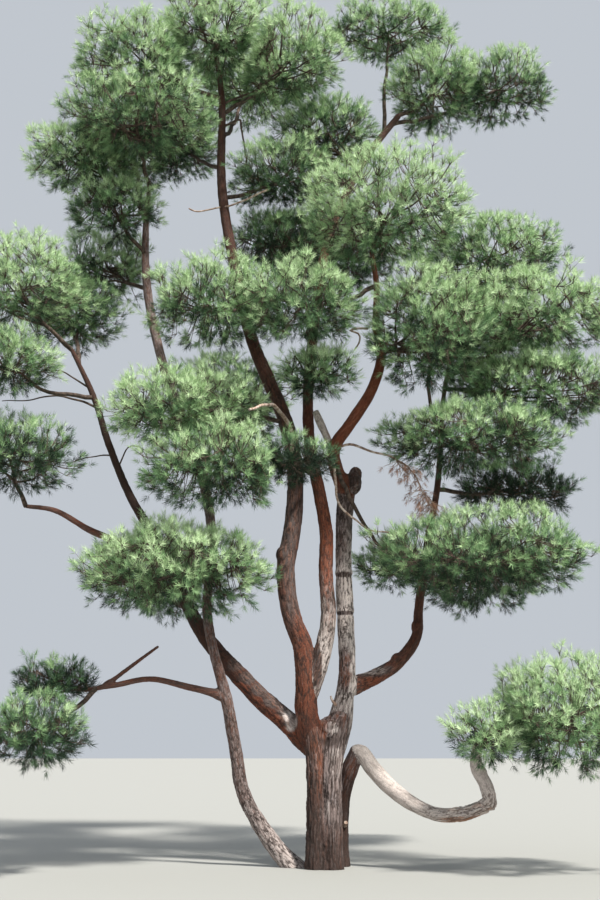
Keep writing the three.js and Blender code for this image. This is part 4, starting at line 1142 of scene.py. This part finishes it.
def grow_boughlets(space, seed, chance, turn):
    """The stem and its boughlets as paths with radii, and the points that twigs can leave."""
    centre, size = space["centre"], space["size"]
    stem, stem_radii = bent_path(space["stem"], STEM_RADII, STEM_SPACING, STEM_CROOK, seed)
    inside = [step for step, point in enumerate(stem)
              if np.linalg.norm((point - centre) / size) < STEM_INSIDE] or [len(stem) - 1]
    paths = [(stem, stem_radii)]
    anchors = [stem[inside[0]:]]
    lift_least, lift_range, lift_step = BOUGHLET_LIFT
    for number in range(BOUGHLETS_LEAST + round(ellipsoid_area(size) * BOUGHLETS_PER_AREA)):
        azimuth = turn + number * math.pi * SPIRAL_TURN
        lift = lift_least + lift_range * ((number * lift_step) % 1)
        direction = unit(np.array((math.cos(azimuth), math.sin(azimuth), lift)))
        end = spot(space, direction, BOUGHLET_REACH * chance.uniform(0.85, 1.1))
        if not free(space, end, LIMB_ROOM):
            end = end * BOUGHLET_CUT
            if not free(space, end, LIMB_ROOM):
                continue
        step = inside[min(len(inside) - 1, int(len(inside) * chance.random() ** 0.7))]
        start, finish = stem[step], centre + end
        reach = finish - start
        middle = start + reach * 0.5 - up(BOUGHLET_SAG * np.linalg.norm(reach))
        radii = (stem_radii[step] * BOUGHLET_ROOT, BOUGHLET_TIP)
        path = bent_path(
            [start, middle, finish], radii, BOUGHLET_SPACING, STEM_CROOK, seed + number)
        paths.append(path)
        anchors.append(path[0])
    return paths, np.vstack(anchors)


def clump_share(space, direction, seed, chance):
    """How far out a clump stands, in the space's half sizes."""
    layer = chance.random()
    share = next(chance.uniform(low, high) for odds, low, high in CLUMP_LAYERS if layer < odds)
    lump = sum(
        strength * noise.noise(Vector(direction * many) + Vector((seed, shift, 0)))
        for many, shift, strength in LUMPS)
    share *= 0.99 + LUMP_DEPTH * lump
    for normal, wall in space["walls"]:
        ahead = normal @ spot(space, direction, 1)
        if ahead > 0:
            share = min(share, (wall - WALL_DEPTH) / ahead * chance.uniform(0.85, 1))
    return share


def clump_shoots(chance, foot, outward, light_here):
    """A clump's shoots as rows of place, direction, size, lightness and kind."""
    around = unit(np.cross(outward, (0.3, 0.2, 1)))
    beside = np.cross(outward, around)
    clump_light = chance.gauss(0, LIGHT["clump"])
    shoots = []
    for shoot in range(SHOOTS_PER_CLUMP):
        angle = shoot * 2 * math.pi / (SHOOTS_PER_CLUMP - 1) + chance.uniform(-0.4, 0.4)
        lean = 0 if shoot == 0 else chance.uniform(0.35, 1.25)
        sideways = math.cos(angle) * around + math.sin(angle) * beside
        facing = unit(outward + lean * sideways + up(SHOOT_TURN))
        # Painted light: shoots that face up get a lighter tone.
        light = light_here + LIGHT["facing"] * (facing[2] - 0.4) + clump_light
        light += chance.gauss(0, LIGHT["shoot"])
        spread = chance.uniform(0.8, 1.15)
        kind = chance.randrange(SPRAY_KINDS)
        stand = foot + facing * spread * SHOOT_TAIL * kind / (SPRAY_KINDS - 1)
        shoots.append((*stand, *facing, spread, light, kind))
    return shoots


def grow_mass(space, seed):
    """The mass's twigs as paths with radii, and its shoots as rows."""
    chance = random.Random(seed)
    centre, size = space["centre"], space["size"]
    close = np.linalg.norm((limb_samples[:, :3] - centre) / size, axis=1) < WOOD_NEAR
    space["wood"] = limb_samples[close]
    turn = chance.uniform(0, 6.28)
    twigs, anchors = grow_boughlets(space, seed, chance, turn)
    anchor_share = np.linalg.norm((anchors - centre) / size, axis=1)
    shoots = []
    count = round(CLUMPS_PER_AREA * ellipsoid_area(size))
    for number in range(count):
        height = 1 - 2 * (number + 0.5) / count
        azimuth = turn + number * math.pi * SPIRAL_TURN + chance.uniform(-0.3, 0.3)
        flat = math.sqrt(1 - height**2)
        direction = np.array((math.cos(azimuth) * flat, math.sin(azimuth) * flat, height))
        if height < BARE_BELOW and chance.random() < BARE_ODDS:
            continue
        share = clump_share(space, direction, seed, chance)
        if share < CLUMP_LEAST:
            continue
        outward = unit(unit(direction / size) + up(CLUMP_TURN))
        top = spot(space, direction, share)
        base = top - outward * SPRAY_LENGTH
        tip, foot = centre + top, centre + base
        out_of_box = (tip < box_low - BOX_MARGIN).any() or (tip > box_high + BOX_MARGIN).any()
        if out_of_box or not free(space, top, TIP_ROOM) or not free(space, base, LIMB_ROOM):
            continue
        gaps = np.linalg.norm(anchors - foot, axis=1)
        cost = gaps + TWIG_INWARD * np.maximum(anchor_share - np.linalg.norm(base / size), 0)
        root, gap = anchors[cost.argmin()], gaps[cost.argmin()]
        if gap > TWIG_LEAST:
            bend = (root + centre + base) / 2 - up(TWIG_SAG * gap)
            twigs.append((np.array([root, bend, foot]), TWIG_RADII))
        # Painted light and shade: higher and outer clumps get lighter tones, lower and inner ones
        # darker.
        light = LIGHT["middle"] + LIGHT["height"] * base[2] / size[2]
        light += LIGHT["outside"] * (share - 0.85) + MASS_LIGHT.get(space["name"], 0)
        shoots.extend(clump_shoots(chance, foot, outward, light))
    return twigs, shoots


# Needles: long and soft, in sprays round the end part of each shoot. Those in the light are yellow
# green, those below and inside are a dull blue green.
NEEDLES_PER_SPRAY = 18
NEEDLE_LENGTH = 0.08
NEEDLE_TURN = 6.5  # needles in one turn round the shoot
NEEDLE_LEANS = (66, 50)  # degrees off the shoot at its foot, and how much less at its tip
NEEDLE_ROUGHNESS = 0.6
NEEDLE_SHEEN = 0.25
SHOOT_LENGTH = 0.075
SHOOT_RADIUS = 0.0098
SHOOT_TAPER = 0.35
SHOOT_BARE = 0.12  # the share at its foot that has no needles
SHOOT_WOOD = 0.0045
SHOOT_SIDES = (0, 2.0944, 4.1888)
SHOOT_TAIL = 0.13
SPRAY_KINDS = 6
# The tones run from painted shade to painted sunlight, chosen by each shoot's lightness.
NEEDLE_TONES = [
    (0.014, 0.032, 0.017, 1), (0.034, 0.075, 0.036, 1), (0.073, 0.146, 0.066, 1),
    (0.136, 0.248, 0.110, 1), (0.240, 0.385, 0.180, 1), (0.380, 0.540, 0.275, 1),
    (0.530, 0.690, 0.400, 1),
]
TONE_STEPS = (-1.0, -0.65, -0.3, 0.02, 0.4, 0.85)


def needle_finishes(name, tones):
    made = []
    for number, colour in enumerate(tones):
        finish, surface = new_finish(f"{name}_{number + 1}")
        surface.inputs["Base Color"].default_value = colour
        surface.inputs["Roughness"].default_value = NEEDLE_ROUGHNESS
        surface.inputs["Specular IOR Level"].default_value = NEEDLE_SHEEN
        made.append(finish)
    return made


def needle_spray(seed):
    """One spray: needles of one face each, set in a spiral round the shoot, joined at their
    roots."""
    chance = random.Random(seed)
    corners, faces = [], []
    for number in range(NEEDLES_PER_SPRAY + 1):
        share = number / NEEDLES_PER_SPRAY
        angle = number * 2 * math.pi / NEEDLE_TURN
        radius = SHOOT_RADIUS * (1 - SHOOT_TAPER * share)
        corners.append((radius * math.cos(angle), radius * math.sin(angle),
                        SHOOT_LENGTH * (SHOOT_BARE + (1 - SHOOT_BARE) * share)))
    for number in range(NEEDLES_PER_SPRAY):
        share = number / NEEDLES_PER_SPRAY
        angle = (number + 0.5) * 2 * math.pi / NEEDLE_TURN + chance.uniform(-0.35, 0.35)
        lean = math.radians(NEEDLE_LEANS[0] - NEEDLE_LEANS[1] * share + chance.uniform(-14, 14))
        length = NEEDLE_LENGTH * chance.uniform(0.82, 1.12)
        root = np.mean([corners[number], corners[number + 1]], axis=0)
        tip = root + length * np.array((
            math.sin(lean) * math.cos(angle), math.sin(lean) * math.sin(angle), math.cos(lean)))
        faces.append((number, number + 1, len(corners)))
        corners.append(tuple(tip))
    mesh = bpy.data.meshes.new(f"spray_{seed}")
    mesh.from_pydata(corners, [], faces)
    return mesh


def shoot_mesh(kind):
    """The shoot that a spray stands on: a slim three-sided point with a tail back to its clump."""
    tail = -0.01 - SHOOT_TAIL * kind / (SPRAY_KINDS - 1)
    ring = [(SHOOT_WOOD * math.cos(a), SHOOT_WOOD * math.sin(a), tail) for a in SHOOT_SIDES]
    mesh = bpy.data.meshes.new(f"shoot_{kind}")
    mesh.from_pydata([*ring, (0, 0, SHOOT_LENGTH)], [], [(0, 1, 3), (1, 2, 3), (2, 0, 3)])
    return mesh


def group_of(name, make):
    """A collection of the kinds of one mesh, to be copied onto points."""
    group = bpy.data.collections.new(name)
    for kind in range(SPRAY_KINDS):
        mesh = make(kind)
        group.objects.link(bpy.data.objects.new(mesh.name, mesh))
    return group


def spread_tree(name, group, materials):
    """Stands one of the group's meshes on each point, turned to the point's facing."""
    tree, sizes = growing_tree(name, {"Group": ("Collection", group), "Seed": ("Int", 5)})
    choices = add_node(tree, "GeometryNodeCollectionInfo", {
        "Collection": sizes["Group"], "Separate Children": True, "Reset Children": True})
    aimed = add_node(tree, "FunctionNodeAlignRotationToVector", {
        "Vector": kept(tree, "facing", "FLOAT_VECTOR")}, axis="Z")
    spin = add_node(tree, "FunctionNodeRandomValue", {"Seed": sizes["Seed"]}, data_type="FLOAT")
    most = next(way for way in spin.inputs if way.name == "Max" and way.type == "VALUE")
    most.default_value = 2 * math.pi
    turned = add_node(tree, "FunctionNodeAxisAngleToRotation", {
        "Axis": (0, 0, 1), "Angle": next(way for way in spin.outputs if way.type == "VALUE")})
    spun = add_node(tree, "FunctionNodeRotateRotation", {
        "Rotation": aimed.outputs[0], "Rotate By": turned.outputs[0]}, rotation_space="LOCAL")
    stood = add_node(tree, "GeometryNodeInstanceOnPoints", {
        "Points": sizes["Geometry"], "Instance": choices.outputs[0], "Pick Instance": True,
        "Instance Index": kept(tree, "kind", "INT"), "Rotation": spun.outputs[0],
        "Scale": kept(tree, "size", "FLOAT")})
    end_tree(tree, stood.outputs["Instances"], materials)
    return tree


def shoot_points(shoots, name):
    """Points for the shoots, with what the spread tree reads of each."""
    rows = np.array(shoots)
    mesh = bpy.data.meshes.new(name)
    mesh.from_pydata([tuple(row) for row in rows[:, :3]], [], [])
    keep_values(mesh, "facing", rows[:, 3:6], "FLOAT_VECTOR")
    keep_values(mesh, "size", rows[:, 6])
    keep_values(mesh, "tone", np.searchsorted(TONE_STEPS, rows[:, 7]).astype(np.int32), "INT")
    keep_values(mesh, "kind", rows[:, 8].astype(np.int32), "INT")
    return mesh


sprays = group_of("sprays", needle_spray)
shoots_group = group_of("shoots", shoot_mesh)
spray_tree = spread_tree(
    "needles_on_shoots", sprays, needle_finishes("needles_tone", NEEDLE_TONES))
shoot_tree = spread_tree("shoots_on_twigs", shoots_group, [thin_bark])
twig_tree = wood_tree("twigs_along_paths", thin_bark)


def grow_plain(obj, tree, name, **inputs):
    """Grows the tree on the object and leaves only the mesh's own shape."""
    mesh = grow(obj, tree, name, **inputs)
    for spare in ("facing", "size", "tone", "kind", "thickness"):
        if spare in mesh.attributes:
            mesh.attributes.remove(mesh.attributes[spare])
    return mesh


def rods(name, paths, tree, sides):
    """Wood along the paths."""
    wires = put_in_scene(name + "_wires", branch_wires(paths))
    mesh = grow_plain(wires, tree, name, Sides=sides)
    take_away(wires)
    return mesh


def joined(name, meshes):
    part = bmesh.new()
    for mesh in meshes:
        part.from_mesh(mesh)
        bpy.data.meshes.remove(mesh)
    result = bpy.data.meshes.new(name)
    part.to_mesh(result)
    part.free()
    return result


for region in MASSES:
    thick, fine, shoots, names = [], [], [], []
    for seed, space in enumerate(spaces):
        if space["region"] != region:
            continue
        twigs, grown = grow_mass(space, 100 + seed)
        for path in twigs:
            (thick if path[1][0] > 0.0075 else fine).append(path)
        shoots.extend(grown)
        names.append(space["name"])
    points = put_in_scene(region + "_points", shoot_points(shoots, region + "_points"))
    needles = put_in_scene(
        region + "_needles", grow_plain(points, spray_tree, region + "_needles"))
    twig_mesh = joined(region + "_twigs", [
        grow_plain(points, shoot_tree, region + "_shoots"),
        rods(region + "_boughlets", thick, twig_tree, 5),
        rods(region + "_fine_twigs", fine, twig_tree, 3),
    ])
    take_away(points)
    twig_mesh.materials.clear()
    twig_mesh.materials.append(thin_bark)
    twig_piece = put_in_scene(region + "_twigs", twig_mesh)
    for piece, slot in ((needles, "needles"), (twig_piece, "bark_red")):
        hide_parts(*names)
        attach(piece, "root")


# The dead spray: a thin branch that droops below the orange bough, with its brown needles still on.
# Its twigs stand in three clusters, and each ends in a small spray that hangs.
DEAD_ROUTE = [
    (0.18, -0.1, 5.44), (0.36, -0.17, 5.47), (0.7, -0.25, 5.33), (0.95, -0.3, 5.25),
    (1.15, -0.4, 5.05), (1.3, -0.45, 4.75), (1.42, -0.5, 4.48),
]
DEAD_RADII = (0.02, 0.005)
DEAD_TWIG_RADII = (0.005, 0.004, 0.003)
DEAD_CLUSTERS = ((0.5, 0.66, 30), (0.66, 0.8, 10), (0.8, 1.0, 46))  # from, to, and twigs between
DEAD_DROOP = 1.1
DEAD_TONES = [(0.38, 0.19, 0.12, 1), (0.55, 0.31, 0.21, 1), (0.24, 0.12, 0.075, 1)]

chance = random.Random(7)
dead_path = bent_path(DEAD_ROUTE, DEAD_RADII, 0.06, BRANCH_CROOK, 3)
dead_points, dead_twigs, dead_shoots = dead_path[0], [dead_path], []
dead_shares = np.concatenate([
    np.linspace(start, end, count, endpoint=False) for start, end, count in DEAD_CLUSTERS])
for number, share in enumerate(dead_shares):
    root = dead_points[int(share * (len(dead_points) - 1))]
    azimuth = number * math.pi * SPIRAL_TURN
    out = unit(np.array((math.cos(azimuth), math.sin(azimuth), chance.uniform(-0.9, 0.1))))
    end = root + out * chance.uniform(0.06, 0.22) + up(-0.03)
    dead_twigs.append((np.array([root, (root + end) / 2, end]), DEAD_TWIG_RADII))
    facing = unit(out + up(-DEAD_DROOP))
    dead_shoots.append((*end, *facing, chance.uniform(0.75, 1.05), chance.uniform(-1.2, -0.4), 0))
dead_wood_piece = put_in_scene("dead_spray_twigs", rods(
    "dead_spray_twigs", dead_twigs, wood_tree("dead_twigs", dead_wood), 5))
points = put_in_scene("dead_points", shoot_points(dead_shoots, "dead_points"))
dead_tree = spread_tree(
    "dead_needles_on_shoots", sprays, needle_finishes("dead_needles", DEAD_TONES))
dead_needles = put_in_scene(
    "dead_spray_needles", grow_plain(points, dead_tree, "dead_spray_needles"))
take_away(points)
for piece, slot in ((dead_needles, "dead_needles"), (dead_wood_piece, "bark_pale")):
    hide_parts("dead_spray")
    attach(piece, "root")


# The sprays and shoots that were copied onto the twigs have served, and go.
for group in (sprays, shoots_group):
    for obj in list(group.objects):
        take_away(obj)
    bpy.data.collections.remove(group)
